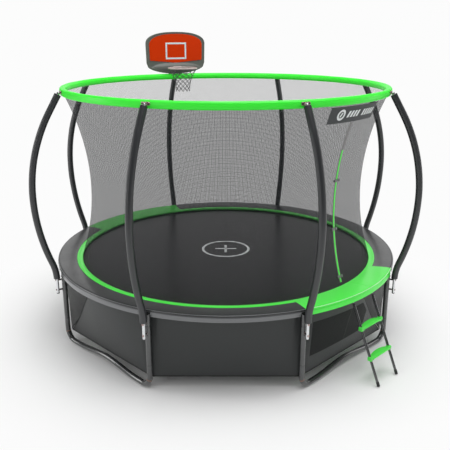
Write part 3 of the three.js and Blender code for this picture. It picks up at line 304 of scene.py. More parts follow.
looks = {
    # powder-coated steel tube, sprayed and baked: satin charcoal with a faint orange peel
    "powderCoat": {"tones": ("#262829", "#2f3132"), "patch": 0.3, "grain": 0.012, "grainDepth": 0.00003,
                   "roughness": (0.2, 0.28),
                   "shader": {"Specular IOR Level": 0.8, "Coat Weight": 1.0, "Coat Roughness": 0.06}},
    # zinc-plated steel tube, drawn and dipped: bright, slightly cloudy metal
    "zincPlate": {"tones": ("#d3d5d8", "#e9eaeb"), "patch": 0.02, "grain": 0.004, "grainDepth": 0.00003,
                  "roughness": (0.16, 0.28), "shader": {"Metallic": 1.0}},
    # yellow-passivated fasteners: a warm, rosy cast over plated steel
    "passivatedZinc": {"tones": ("#b39a98", "#c9b3b0"), "patch": 0.01, "grain": 0.003, "grainDepth": 0.00003,
                       "roughness": (0.22, 0.34), "shader": {"Metallic": 0.9}},
    # copper-coloured weld seam: a narrow rippled ring
    "weldBead": {"tones": ("#9c6f5c", "#b98d78"), "patch": 0.006, "grain": 0.002, "grainDepth": 0.0003,
                 "roughness": (0.3, 0.45), "shader": {"Metallic": 0.8}},
    # PVC sheath pulled over foam tube: satin grey, shallow lengthwise creases
    "foamSheath": {"tones": ("#242628", "#2d2f32"), "patch": 0.25, "grain": 0.03, "grainDepth": 0.0008,
                   "roughness": (0.3, 0.4), "shader": {"Specular IOR Level": 0.75}},
    # calendered PVC sheet, bright green: clean gloss with soft dents over the foam
    "glossGreen": {"tones": ("#49f947", "#55fe53"), "patch": 0.4, "grain": 0.05, "grainDepth": 0.0001,
                   "roughness": (0.3, 0.4), "shader": {"Coat Weight": 0.3, "Coat Roughness": 0.16}},
    # the same sheet drawn round the hoop tube: softer gloss, so its curve keeps its colour
    "hoopGreen": {"tones": ("#33f331", "#3efa3c"), "patch": 0.4, "grain": 0.05, "grainDepth": 0.0001,
                  "roughness": (0.36, 0.46),
                  "shader": {"Specular IOR Level": 0.35, "Coat Weight": 0.08, "Coat Roughness": 0.2}},
    # calendered PVC sheet, charcoal: low gloss that lifts towards grazing light
    "padGrey": {"tones": ("#232526", "#2b2d2f"), "patch": 0.35, "grain": 0.04, "grainDepth": 0.0008,
                "roughness": (0.34, 0.44),
                "shader": {"Specular IOR Level": 0.7, "Coat Weight": 0.5, "Coat Roughness": 0.25}},
    # the same sheet hanging as an apron, painted paler: painted light standing in for where the floor lights it
    "apronGreyPaintedLight": {"tones": ("#626466", "#6b6d6f"), "patch": 0.35, "grain": 0.04, "grainDepth": 0.0004,
                  "roughness": (0.3, 0.4),
                  "shader": {"Specular IOR Level": 0.7, "Coat Weight": 0.6, "Coat Roughness": 0.15}},
    # woven polypropylene jump fabric: near-black, threads 3 mm apart drawn 6 mm to show
    "jumpFabric": {"tones": ("#0d0d0e", "#121213"), "patch": 0.5, "grain": 0.01, "grainDepth": 0.00005,
                   "roughness": (0.22, 0.3), "weave": 0.006, "weaveDepth": 0.00008, "weaveShade": 0.2,
                   "shader": {"Specular IOR Level": 0.4}},
    # coated Oxford cloth: dull charcoal with a plain weave, threads drawn 5 mm to show
    "skirtCloth": {"tones": ("#272a2a", "#2e3131"), "patch": 0.5, "grain": 0.02, "grainDepth": 0.0003,
                   "roughness": (0.5, 0.6), "weave": 0.005, "weaveDepth": 0.00025, "weaveShade": 0.1,
                   "followsPiece": True, "shader": {"Sheen Weight": 0.25, "Sheen Roughness": 0.4}},
    # back of the same cloth, painted paler: painted light for the light it catches under the frame
    "skirtInsidePaintedLight": {"tones": ("#757878", "#818484"), "patch": 0.5, "grain": 0.02, "grainDepth": 0.0003,
                    "roughness": (0.7, 0.8), "weave": 0.005, "weaveDepth": 0.00025, "weaveShade": 0.2,
                    "followsPiece": True, "shader": {"Alpha": 0.62}},
    # open vent cloth of the side panels: daylight comes through between the threads
    "ventCloth": {"tones": ("#272a2a", "#2e3131"), "patch": 0.5, "grain": 0.02, "grainDepth": 0.0003,
                  "roughness": (0.5, 0.6), "weave": 0.005, "weaveDepth": 0.00025, "weaveShade": 0.2,
                  "followsPiece": True, "shader": {"Alpha": 0.62}},
    # open mesh window cloth, drawn solid: painted darker, painted shade for the shade behind it
    "windowMesh": {"tones": ("#151717", "#1a1c1c"), "patch": 0.3, "grain": 0.01, "grainDepth": 0.0002,
                   "roughness": (0.6, 0.75), "weave": 0.005, "weaveDepth": 0.0004, "weaveShade": 0.3,
                   "followsPiece": True, "shader": {"Specular IOR Level": 0.3}},
    # polypropylene webbing: ribbed black tape at hems and edges
    "blackTape": {"tones": ("#121313", "#191a1a"), "patch": 0.1, "grain": 0.005, "grainDepth": 0.0003,
                  "roughness": (0.55, 0.7), "weave": 0.003, "weaveDepth": 0.0003, "weaveShade": 0.2,
                  "followsPiece": True},
    # blow-moulded backboard: mid grey with a fine moulded grain
    "mouldedGrey": {"tones": ("#565954", "#62655f"), "patch": 0.2, "grain": 0.003, "grainDepth": 0.0001,
                    "roughness": (0.4, 0.5), "shader": {"Specular IOR Level": 0.5}},
    # printed polycarbonate face: saturated orange under a clear, even gloss
    "printedOrange": {"tones": ("#c53100", "#cd3500"), "patch": 0.3, "grain": 0.02, "grainDepth": 0.0001,
                      "roughness": (0.3, 0.38), "shader": {"Specular IOR Level": 0.1}},
    # welted piping sewn along the pad's outer edge, painted pale: a painted highlight along the edge
    "weltPipingHighlight": {"tones": ("#6c6e70", "#7a7c7e"), "patch": 0.1, "grain": 0.004, "grainDepth": 0.0001,
                   "roughness": (0.25, 0.35), "shader": {"Specular IOR Level": 0.7}},
    # the same piping on the green sectors, painted whitish: a painted highlight
    "greenPipingHighlight": {"tones": ("#b9f5b6", "#c6f8c4"), "patch": 0.1, "grain": 0.004, "grainDepth": 0.0001,
                    "roughness": (0.25, 0.35)},
    # screen-printed white enamel: an even, slightly cool line
    "printedWhite": {"tones": ("#c9dcdf", "#d3e3e6"), "patch": 0.1, "grain": 0.02, "grainDepth": 0.0001,
                     "roughness": (0.35, 0.45)},
    # enamelled steel rim: pale, with a rosy undercoat showing
    "rimEnamel": {"tones": ("#b5a5a2", "#c6b7b5"), "patch": 0.08, "grain": 0.004, "grainDepth": 0.00006,
                  "roughness": (0.22, 0.3), "shader": {"Coat Weight": 0.4, "Coat Roughness": 0.1}},
    # twisted nylon cord of the small net
    "nylonCord": {"tones": ("#38393b", "#48494b"), "patch": 0.02, "grain": 0.003, "grainDepth": 0.0004,
                  "roughness": (0.55, 0.7)},
    # injection-moulded polypropylene treads: bright green with a fine spark texture
    "mouldedGreen": {"tones": ("#49e246", "#57ea54"), "patch": 0.1, "grain": 0.0015, "grainDepth": 0.00008,
                     "roughness": (0.34, 0.44), "shader": {"Specular IOR Level": 0.55}},
    # moulded polyethylene caps and spacers: dull black with a soft edge of light
    "blackPlastic": {"tones": ("#1f2021", "#2a2b2c"), "patch": 0.02, "grain": 0.002, "grainDepth": 0.00008,
                     "roughness": (0.38, 0.5)},
    # the same plastic in grey, for the buckles
    "greyPlastic": {"tones": ("#6c6f6e", "#828584"), "patch": 0.02, "grain": 0.002, "grainDepth": 0.00008,
                    "roughness": (0.3, 0.42)},
    # moulded zip teeth on their tape, seen as a rosy grey line
    "zipTeeth": {"tones": ("#675c60", "#7b7074"), "patch": 0.02, "grain": 0.002, "grainDepth": 0.0003,
                 "roughness": (0.4, 0.55), "followsPiece": True},
    # woven polyester tape over the upper end of the zip: a dull pale ribbon
    "seamTape": {"tones": ("#7f7c7d", "#8f8c8d"), "patch": 0.05, "grain": 0.004, "grainDepth": 0.0003,
                 "roughness": (0.5, 0.6), "weave": 0.004, "weaveDepth": 0.0003, "weaveShade": 0.15,
                 "followsPiece": True},
    # polyester banner, printed: dark ground and white marks
    "bannerCloth": {"tones": ("#333638", "#3b3e40"), "patch": 0.2, "grain": 0.01, "grainDepth": 0.0002,
                    "roughness": (0.5, 0.6), "weave": 0.004, "weaveDepth": 0.0002, "weaveShade": 0.1,
                    "followsPiece": True},
    # white ink on cloth, dull and slightly uneven
    "bannerWhite": {"tones": ("#dfe2e3", "#eceeef"), "patch": 0.1, "grain": 0.01, "grainDepth": 0.0002,
                    "roughness": (0.5, 0.6)},
}
finishes = {name: makeFinish(name, look) for name, look in looks.items()}

# knotted polyethylene net, 3 mm meshes drawn at 12 mm: charcoal strands with open air between them; the inner
# face is painted lighter than the outer face, painted light and painted shade
netLook = {"mesh": 0.012, "strand": 0.80, "solid": (0.86, 0.60), "open": (0.30, 0.16),
           "outside": "#26272a", "inside": "#36383a", "roughness": 0.7, "specular": 0.1}


def makeNetFinish(name, look):
    material = bpy.data.materials.new(name)
    material.use_nodes = True
    tree = material.node_tree
    shader = tree.nodes["Principled BSDF"]
    place = addNode(tree, "TexCoord").outputs["UV"]
    upright, level = (addNode(tree, "TexWave", {"Vector": place, "Scale": waveScale / look["mesh"]},
                              wave_type="BANDS", bands_direction=way).outputs[1] for way in "XY")
    highest = addNode(tree, "Math", {0: upright, 1: level}, operation="MAXIMUM").outputs[0]
    strand = addNode(tree, "Math", {0: highest, 1: look["strand"]}, operation="GREATER_THAN").outputs[0]
    # the near side shows its outer face and reads dense, the far side its inner face and reads open
    side = addNode(tree, "NewGeometry").outputs["Backfacing"]
    near, far = (addNode(tree, "MapRange", {0: strand, 3: thin, 4: full}).outputs[0]
                 for thin, full in zip(look["open"], look["solid"]))
    cover = addNode(tree, "Mix", {0: side, 2: near, 3: far}).outputs[0]
    tree.links.new(cover, shader.inputs["Alpha"])
    # painted light and shade: the inner face's tone is lighter for the lit far side, the outer face's darker for
    # the shaded near side
    outside, inside = linear(look["outside"]), linear(look["inside"])
    tone = addNode(tree, "Mix", {0: side, 6: outside, 7: inside}, data_type="RGBA")
    tree.links.new(tone.outputs[2], shader.inputs["Base Color"])
    shader.inputs["Roughness"].default_value = look["roughness"]
    shader.inputs["Specular IOR Level"].default_value = look["specular"]
    return material


finishes["netMesh"] = makeNetFinish("netMesh", netLook)
print("finishes made:", len(finishes))


def makeRails():
    rail = {"steps": 72, "sides": 20, "socketFrom": 0.655, "socketTo": 0.771, "socketSides": 28,
            "screwUp": 0.735, "screwFrom": 0.024, "screwTo": 0.031, "screw": 0.006}
    half = 45 - math.degrees(sizes["seat"] / 2 / sizes["frameOut"])
    for k in range(4):
        middle = 45 + 90 * k
        path = turned(sizes["frameOut"], middle + np.linspace(-half, half, rail["steps"]), sizes["frameUp"])
        shapes = [bar(path, sizes["railRadius"], (0, 0, 1), rail["sides"])]
        for side in (-22.5, 22.5):
            ends = turned(sizes["frameOut"], middle + side, np.array([rail["socketFrom"], rail["socketTo"]]))
            shapes.append(bar(ends, sizes["legRadius"], (1, 0, 0), rail["socketSides"]))
            screw = outwardBar(0, sizes["frameOut"] + rail["screwFrom"], sizes["frameOut"] + rail["screwTo"],
                               rail["screwUp"], rail["screw"], 6, 0.001, 1)
            shapes.append(leaning(screw, lambda p: atAzimuth(p, middle + side)))
        makePiece(f"topRail_{k + 1}", shapes, [finishes["powderCoat"], finishes["blackPlastic"]],
                  stands=[f"rail_{k + 1}"])


def makeLegs():
    leg = {"from": 0.2602, "to": 0.6547, "sides": 28, "edge": 0.002}
    for k, azimuth in enumerate(legAzimuths):
        ends = turned(sizes["frameOut"], azimuth, np.array([leg["from"], leg["to"]]))
        tube = bar(ends, sizes["legRadius"], (1, 0, 0), leg["sides"], leg["edge"])
        makePiece(f"legTube_{k + 1}", [tube], [finishes["powderCoat"]],
                  stands=[f"leg_{k + 1}"])


def makeBases():
    base = {"top": 0.2597, "bend": 0.115, "contact": 0.070, "rise": 0.045, "sides": 24, "edge": 0.002,
            "weldAt": 18, "weldHalf": 1.6, "weldProud": 0.0007, "weldEdge": 0.0006}
    radius = sizes["legRadius"]
    halfSpan = sizes["frameOut"] * math.sin(math.radians(22.5))
    chord = sizes["frameOut"] * math.cos(math.radians(22.5))
    contactEnd = halfSpan - base["bend"] - base["contact"]

    def bendPoint(turn):    # quarter bend from upright to level
        a = np.radians(turn)
        return halfSpan - base["bend"] * (1 - np.cos(a)), radius + base["bend"] * (1 - np.sin(a))

    bendX, bendZ = bendPoint(np.linspace(0, 90, 15))
    middleX = np.linspace(contactEnd, 0, 24)
    rise = base["rise"] * np.sin(np.pi / 2 * (1 - middleX / contactEnd)) ** 2
    x = np.concatenate([[halfSpan, halfSpan], bendX, middleX])
    z = np.concatenate([[base["top"], 0.2], bendZ, radius + rise])
    x, z = np.concatenate([x, -x[-2::-1]]), np.concatenate([z, z[-2::-1]])
    path = np.column_stack([x, np.full(len(x), -chord), z])
    shapes = [bar(path, radius, (0, 1, 0), base["sides"], base["edge"])]
    for sign in (-1, 1):
        wx, wz = bendPoint(base["weldAt"] + base["weldHalf"] * np.linspace(-1, 1, 4))
        weld = np.column_stack([sign * wx, np.full(4, -chord), wz])
        shapes.append(bar(weld, radius + base["weldProud"], (0, 1, 0), base["sides"], base["weldEdge"], 1))
    for k in range(4):
        made = [leaning(s, lambda p: atAzimuth(p, 45 + 90 * k)) for s in shapes]
        makePiece(f"floorBase_{k + 1}", made, [finishes["powderCoat"], finishes["weldBead"]],
                  stands=[f"floor_base_{k + 1}"])


makeRails()
makeLegs()
makeBases()
print("steel frame made")


pole = {"footOut": 1.903, "footUp": 0.554, "foamFrom": 0.715, "foamTo": 2.597, "bulgeOut": 2.067,
        "bulgeUp": 1.605, "lowerArc": 2.0, "lowerStart": 0.895, "upperArc": 1.64, "lean": 30, "lineTop": 2.7,
        "bare": 0.020}


# Bowed centre line (out, up): upright foot, quadratic bend, lower arc, upper arc, straight lean, walked at
# equal steps.
def poleLine(low, high, steps):
    lowerAngle = math.asin((pole["bulgeUp"] - pole["lowerStart"]) / pole["lowerArc"])
    a = np.linspace(-lowerAngle, 0, 40)
    b = np.radians(np.linspace(0, pole["lean"], 40))
    lower, upper = (np.array([pole["bulgeOut"], pole["bulgeUp"]])
                    + r * np.column_stack([np.cos(turn) - 1, np.sin(turn)])
                    for r, turn in ((pole["lowerArc"], a), (pole["upperArc"], b)))
    knee = np.array([pole["footOut"], lower[0, 1] - (lower[0, 0] - pole["footOut"]) / math.tan(lowerAngle)])
    foot = np.array([pole["footOut"], pole["foamFrom"]])
    t = np.linspace(0, 1, 16)[:, None]
    bend = (1 - t) ** 2 * foot + 2 * t * (1 - t) * knee + t ** 2 * lower[0]
    top = upper[-1] + np.array([-math.tan(math.radians(pole["lean"])), 1]) * (pole["lineTop"] - upper[-1, 1])
    line = np.concatenate([[[pole["footOut"], pole["footUp"]]], bend, lower[1:], upper[1:], [top]])
    walked = np.concatenate([[0], np.cumsum(np.linalg.norm(np.diff(line, axis=0), axis=1))])
    ends = np.interp([low, high], line[:, 1], walked)
    stops = np.linspace(*ends, steps)
    return np.column_stack([np.interp(stops, walked, line[:, 0]), np.interp(stops, walked, line[:, 1])])


def onFront(line):    # (out, up) at the front
    return np.column_stack([np.zeros(len(line)), -line[:, 0], line[:, 1]])


def makePoles():
    bolts = {"heights": (0.590, 0.700), "spacer": 0.0085, "washer": 0.011, "washerThick": 0.0022,
             "head": 0.007475, "headUp": 0.005}
    clip = {"width": 0.084, "height": 0.030, "thickness": 0.003, "cheek": 0.036, "boltAt": 0.031,
            "bolt": 0.0075}
    tipUp = pole["foamTo"] + pole["bare"] * math.cos(math.radians(pole["lean"]))
    legFace = sizes["frameOut"] + sizes["legRadius"]
    poleIn, poleOut = pole["footOut"] - sizes["poleRadius"], pole["footOut"] + sizes["poleRadius"]
    hoopFace = sizes["hoopOut"] + sizes["coverWidth"] / 2 + sizes["seat"]
    shapes = [bar(onFront(poleLine(pole["footUp"], tipUp, 90)), sizes["poleRadius"], (1, 0, 0), 20, 0.002)]
    foot = [[0, -pole["footOut"], pole["footUp"] - 0.005], [0, -pole["footOut"], pole["footUp"] + 0.004]]
    shapes.append(bar(foot, sizes["poleRadius"] + 0.0008, (1, 0, 0), 20, 0.003, 1))
    for up in bolts["heights"]:
        shapes.append(outwardBar(0, legFace - 0.001, poleIn + 0.001, up, bolts["spacer"], 20, 0.001, 1))
        for out in (legFace + 0.001, poleIn - 0.002):
            shapes.append(outwardBar(0, out, out + bolts["washerThick"], up, bolts["washer"], 24, 0.0005, 2))
        shapes.append(outwardBar(0, poleOut - 0.001, poleOut + 0.0015, up, bolts["washer"], 24, 0.0005, 2))
        shapes.append(outwardBar(0, poleOut, poleOut + bolts["headUp"], up, bolts["head"], 6, 0.001, 2))
    plate = roundedBox(clip["width"], clip["height"], 0.006)
    shapes.append(slab(plate, hoopFace, hoopFace + clip["thickness"], 0.0008, (0, tipUp), 2))
    cheek = roundedBox(clip["cheek"], clip["height"], 0.004)
    shapes.append(slab(cheek, hoopFace + 0.001, hoopFace + 0.013, 0.001, (0, tipUp), 2))
    for along in (-clip["boltAt"], clip["boltAt"]):
        shapes.append(outwardBar(along, hoopFace + 0.002, hoopFace + 0.008, tipUp, clip["bolt"], 6, 0.001, 1))
    skins = [finishes["zincPlate"], finishes["blackPlastic"], finishes["passivatedZinc"]]
    for k, azimuth in enumerate(legAzimuths):
        made = [leaning(s, lambda p: atAzimuth(p, azimuth)) for s in shapes]
        makePiece(f"poleTube_{k + 1}", made, skins, stands=[f"pole_{k + 1}"])


def makeFoamSleeves():
    foam = {"steps": 150, "sides": 36, "edge": 0.006, "dent": 0.0009, "dentSize": 0.22, "creaseUp": 0.83,
            "creaseReach": 0.10, "creasePitch": 0.035, "crease": 0.0012, "seam": 0.0016, "seamWidth": 0.8}
    for k, azimuth in enumerate(legAzimuths):
        path, radius = roundEnds(onFront(poleLine(pole["foamFrom"], pole["foamTo"], foam["steps"])),
                                 sizes["foamRadius"], foam["edge"], 4)
        points = tubeGrid(path, radius, foam["sides"], np.array([1.0, 0, 0]))
        middle = path[:, None]
        # dents all over, rings of creases where the sleeve bends, and one sewn line facing the axis
        around = unit(points - middle)
        bend = np.exp(-((path[:, 2] - foam["creaseUp"]) / foam["creaseReach"]) ** 2)[:, None]
        crease = np.sin(path[:, None, 2] * 2 * np.pi / foam["creasePitch"]) * np.clip(around[..., 1], 0, 1)
        seam = np.exp(-((np.arange(foam["sides"]) - foam["sides"] / 4) / foam["seamWidth"]) ** 2)
        push = foam["dent"] * ripple(points, 11 + k, foam["dentSize"])
        push = push + foam["crease"] * bend * crease - foam["seam"] * seam[None]
        sleeve = gridSurface(atAzimuth(points + around * push[..., None], azimuth), closeV=True, capU=True)
        piece = makePiece(f"foamSleeve_{k + 1}", [sleeve], [finishes["foamSheath"]],
                          stands=[f"foam_sleeve_{k + 1}"])


makePoles()
makeFoamSleeves()
print("poles made")


def makeHoopCover():
    cover = {"around": 288, "sides": 40, "squareness": 2.5, "creaseUp": 0.0125, "crease": 0.0022,
             "creaseWidth": 0.0045, "dent": 0.0011, "dentSize": 0.26, "pucker": 0.0007, "puckers": 190,
             "puckerReach": 0.014, "seam": 0.003, "seamWidth": 0.12}
    azimuth = np.linspace(0, 360, cover["around"], endpoint=False)[:, None]
    t = circle(cover["sides"])[None]
    power = 2 / cover["squareness"]
    sideways = signedPower(np.cos(t), power) * sizes["coverWidth"] / 2
    upwards = signedPower(np.sin(t), power) * sizes["coverHeight"] / 2
    fromCrease = upwards - cover["creaseUp"]
    crease = cover["crease"] * np.exp(-(fromCrease / cover["creaseWidth"]) ** 2) * (np.cos(t) > 0)
    seam = cover["seam"] * np.exp(-((t - 1.5 * np.pi) / cover["seamWidth"]) ** 2)
    besideCrease = np.exp(-(fromCrease / cover["puckerReach"]) ** 2)
    pucker = np.sin(np.radians(azimuth) * cover["puckers"]) * besideCrease
    rough = turned(sizes["hoopOut"] + sideways, azimuth, sizes["hoopUp"] + upwards)
    swell = cover["dent"] * (ripple(rough, 3, cover["dentSize"]) - 1) + cover["pucker"] * pucker
    scale = 1 + (swell - crease - seam) / np.hypot(sideways, upwards)
    points = turned(sizes["hoopOut"] + sideways * scale, azimuth, sizes["hoopUp"] + upwards * scale)
    piece = makePiece("hoopCover", [gridSurface(points, closeU=True, closeV=True)], [finishes["hoopGreen"]],
                      stands=["hoop_cover"], sharp=60)


net = {"waistOut": 1.463, "waistUp": 1.605, "arc": 2.3, "arcFrom": 0.845, "bottom": 0.7900, "top": 2.5692,
       "thickness": 0.002, "rows": 44, "around": 240}


def netOut(up):    # outer face of the net: a circular arc about the waist, upright below it
    drop = np.maximum(up, net["arcFrom"]) - net["waistUp"]
    return net["waistOut"] + net["arc"] - np.sqrt(net["arc"] ** 2 - drop ** 2) + net["thickness"]


def makeNet():
    up = np.linspace(net["bottom"], net["top"], net["rows"])
    azimuth = np.linspace(0, 360, net["around"], endpoint=False)
    out = netOut(up)
    points = turned(out[None] - net["thickness"] / 2, azimuth[:, None], up[None])
    shape = gridSurface(points, closeU=True, solid=False)
    piece = makePiece("safetyNet", [shape], [finishes["netMesh"]], stands=["enclosure_net"],
                      sharp=180)


def onNet(along, up, proud, azimuth=45.0):    # some way along the net from an azimuth, and proud of it
    out = netOut(up) + proud
    return turned(out, azimuth + np.degrees(along / out), up)


def makeBanner():
    banner = {"from": 32.8, "to": 57.8, "low": 2.405, "high": 2.557, "proud": 0.0023, "thick": 0.0012,
              "slack": 0.0012, "slackSize": 0.16, "hem": 0.004, "measuredUp": 2.48, "ringAt": -0.212,
              "ring": 0.050, "ringInner": 0.030, "stroke": (-0.010, 0.020, 0.040), "bars": 10,
              "gapAfter": 4, "barsFrom": -0.122, "pitch": 0.045, "bar": 0.028, "lean": 0.018, "tall": 0.058,
              "ink": 0.0006, "inkTop": 0.0018}
    azimuth = np.linspace(banner["from"], banner["to"], 60)[:, None]
    up = np.linspace(banner["low"], banner["high"], 10)[None]
    slack = banner["slack"] * (ripple(turned(netOut(up), azimuth, up), 5, banner["slackSize"]) - 1)
    out = netOut(up) + banner["proud"] + slack + banner["thick"]
    cloth = shell(turned(out, azimuth, up), banner["thick"])
    middle, level = (banner["from"] + banner["to"]) / 2, (banner["low"] + banner["high"]) / 2
    inkOut = banner["proud"] + banner["inkTop"]
    t = circle(48)[:, None]
    w = np.linspace(banner["ringInner"], banner["ring"], 4)[None]
    faces = [onNet(banner["ringAt"] + w * np.cos(t), level + w * np.sin(t), proud, middle)
             for proud in (inkOut, inkOut - banner["ink"])]
    loop = np.concatenate([faces[0], faces[1][:, ::-1]], axis=1)
    marks = [gridSurface(loop, closeU=True, closeV=True, finish=1)]
    s = np.linspace(-0.5, 0.5, 7)[None]
    w = np.linspace(0, 1, 4)[:, None]
    strokeFrom, strokeWide, strokeTall = banner["stroke"]
    strokes = [(banner["ringAt"] + strokeFrom, strokeWide, strokeTall)]
    strokes += [(banner["barsFrom"] + k * banner["pitch"], banner["bar"], banner["tall"])
                for k in range(banner["bars"]) if k != banner["gapAfter"]]
    for start, wide, tall in strokes:
        along = start + w * wide + s * banner["lean"]
        marks.append(shell(onNet(along, level + s * tall + 0 * w, inkOut, middle), banner["ink"], finish=1))
    piece = makePiece("banner_cloth", [cloth, *marks], [finishes["bannerCloth"], finishes["bannerWhite"]],
                      stands=["banner"])
    tall = banner["high"] - banner["low"] + banner["hem"]


makeHoopCover()
makeNet()
makeBanner()
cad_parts["hoop_tube"].data.materials.clear()
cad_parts["hoop_tube"].data.materials.append(finishes["zincPlate"])
print("hoop, net and banner made")


zipper = {"offset": -0.008, "from": 0.845, "flapFrom": 2.135, "to": 2.395, "strip": 0.010, "edge": 0.018,
          "thick": 0.0024, "buckles": (0.898, 1.362, 1.840), "half": 0.038, "buckleWidth": 0.028,
          "buckleThick": 0.011, "round": 0.007, "edgeRound": 0.0028}


def netStrip(alongFrom, alongTo, low, high, proud, thickness, finish, steps=60, crown=0.0):
    along = np.linspace(alongFrom, alongTo, 7)[:, None]
    up = np.linspace(low, high, steps)[None]
    bow = crown * (1 - ((along - (alongFrom + alongTo) / 2) / ((alongTo - alongFrom) / 2)) ** 2)
    points = onNet(along + zipper["offset"] + 0 * up, up + 0 * along, proud + bow)
    return shell(points, thickness, finish)


def buckleBlock(outline, inFace, outFace, rounding, up, finish):    # flat block laid on the leaning net
    lean = math.atan2(float(netOut(np.array(up + 0.005)) - netOut(np.array(up - 0.005))), 0.01)
    shape = slab(outline, inFace, outFace, rounding, finish=finish)

    def lay(p):
        c, s = math.cos(lean), math.sin(lean)
        laid = np.column_stack([p[:, 0], p[:, 1] * c - p[:, 2] * s, p[:, 1] * s + p[:, 2] * c])
        return atAzimuth(laid + [zipper["offset"], -(float(netOut(np.array(up))) + sizes["seat"]), up], 45)

    return leaning(shape, lay)


def makeZip():
    seat = sizes["seat"]
    strip, edge, thick = zipper["strip"], zipper["edge"], zipper["thick"]
    shapes = [netStrip(-strip, strip, zipper["from"], zipper["flapFrom"], seat + thick, 0.0018, 0, 90, 0.002)]
    for side in (-1, 1):
        low, high = sorted((side * strip, side * edge))
        shapes.append(netStrip(low, high, zipper["from"], zipper["flapFrom"], seat + 0.0014, 0.0012, 1, 90))
    shapes.append(netStrip(-edge, edge, zipper["flapFrom"], zipper["to"], seat + 0.002, 0.0016, 2, 20, 0.0016))
    half, tall, deep = zipper["half"], zipper["buckleWidth"], zipper["buckleThick"]
    for up in zipper["buckles"]:
        body = roundedBox(half, tall, zipper["round"]) - [half / 2 + seat, 0]
        shapes.append(buckleBlock(body, thick * 0.6, thick + deep, zipper["edgeRound"], up, 3))
        groove = roundedBox(0.004, tall * 0.7, 0.0015) - [half * 0.72, 0]
        shapes.append(buckleBlock(groove, thick + deep - 0.001, thick + deep + 0.0008, 0.0004, up, 3))
        web = roundedBox(0.014, 0.016, 0.001) - [half + 0.004, 0]
        shapes.append(buckleBlock(web, thick * 0.8, thick + 0.003, 0.0006, up, 4))
    skins = [finishes[name] for name in ("glossGreen", "zipTeeth", "seamTape", "greyPlastic", "blackTape")]
    makePiece("zipPanel", shapes, skins, stands=["zip_tape"])
    bodies = ("buckle_bottom", "buckle_middle", "buckle_top")
    for k, (bodyName, up) in enumerate(zip(bodies, zipper["buckles"])):
        body = roundedBox(half * 0.62, tall, zipper["round"]) + [half * 0.69 + seat, 0]
        arms = [roundedBox(0.032, 0.005, 0.002) + [0.004, side * 0.0075] for side in (-1, 1)]
        loose = [buckleBlock(body, thick + seat, thick + deep, zipper["edgeRound"], up, 0)]
        loose += [buckleBlock(arm, thick + 0.003, thick + 0.008, 0.001, up, 0) for arm in arms]
        tongue = roundedBox(0.03, 0.0045, 0.0015) + [0.002, 0]
        loose.append(buckleBlock(tongue, thick + 0.0035, thick + 0.0075, 0.001, up, 0))
        makePiece(f"{bodyName}_half", loose, [finishes["greyPlastic"]], bodyName,
                  [f"buckle_{k + 1}"])


def makeSlider():
    slider = {"up": 0.870, "wide": 0.014, "deep": 0.008, "tall": 0.030, "bridge": (0.007, 0.016),
              "bridgeUp": 0.004, "pull": (0.009, 0.022), "pullUp": -0.004}
    angle = math.asin((slider["up"] - net["waistUp"]) / net["arc"])
    centre = net["waistOut"] + net["arc"]
    back = net["waistOut"] - sizes["seat"]
    front = back - slider["deep"]
    bridge, pull = roundedBox(*slider["bridge"], 0.003), roundedBox(*slider["pull"], 0.003)
    shapes = [slab(roundedBox(slider["wide"], slider["tall"], 0.004), back - slider["deep"] * 0.7, back, 0.002),
              slab(bridge, front, back - slider["deep"] * 0.6, 0.001, (0, slider["bridgeUp"])),
              slab(pull, front, back - slider["deep"] * 0.75, 0.0008, (0, slider["pullUp"]), 1)]

    def swing(p):    # set by a turn about the centre of the net's arc
        q = p + [zipper["offset"], centre, 0]
        c, s = math.cos(angle), math.sin(angle)
        q = np.column_stack([q[:, 0], q[:, 1] * c - q[:, 2] * s, q[:, 1] * s + q[:, 2] * c])
        return atAzimuth(q - [0, centre, -net["waistUp"]], 45)

    makePiece("zipPull", [leaning(s, swing) for s in shapes], [finishes["zincPlate"], finishes["printedWhite"]],
              "zip_slider", ["zip_slider"])


makeZip()
makeSlider()
print("entrance made")


def makeMat():
    mat = {"thick": 0.003, "rows": 34, "around": 180, "firstRings": (0.004, 0.04), "ring": 0.26,
           "line": 0.026, "cross": 0.12, "ink": 0.0004, "stillFrom": 1.6, "dishPower": 1.15}
    first, second = mat["firstRings"]
    out = np.concatenate([[first], np.linspace(second, sizes["matOut"], mat["rows"])])
    top = np.column_stack([out, np.full(len(out), sizes["matUp"])])
    profile = np.concatenate([top, top[::-1] - [0, mat["thick"]]])
    azimuth = np.linspace(0, 360, mat["around"], endpoint=False)[:, None]
    shapes = [gridSurface(turned(profile[None, :, 0], azimuth, profile[None, :, 1]), closeU=True, capV=True)]
    # a plain ring and cross mark the middle
    section = np.array([[-1, 0], [1, 0], [1, 1], [-1, 1]]) * [mat["line"] / 2, mat["ink"]]
    section = section + [mat["ring"], sizes["matUp"]]
    ring = turned(section[None, :, 0], azimuth, section[None, :, 1])
    shapes.append(gridSurface(ring, closeU=True, closeV=True, finish=1))
    for way in (0, 1):
        along = np.linspace(-mat["cross"], mat["cross"], 9)[:, None]
        wide = np.array([-1, 1])[None] * mat["line"] / 2
        flat = [along + 0 * wide, wide + 0 * along] if way else [wide + 0 * along, along + 0 * wide]
        sheet = np.stack([*flat, np.full(flat[0].shape, sizes["matUp"] + mat["ink"])], -1)
        shapes.append(shell(sheet, mat["ink"], 1, back=(0, 0, -1)))
    piece = makePiece("jumpMat", shapes, [finishes["jumpFabric"], finishes["bannerWhite"]], body=None,
                      stands=["mat"])
    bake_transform(piece)
    # reach of every point from the axis
    reach = np.hypot(*vertexPlaces(piece)[:, :2].T)


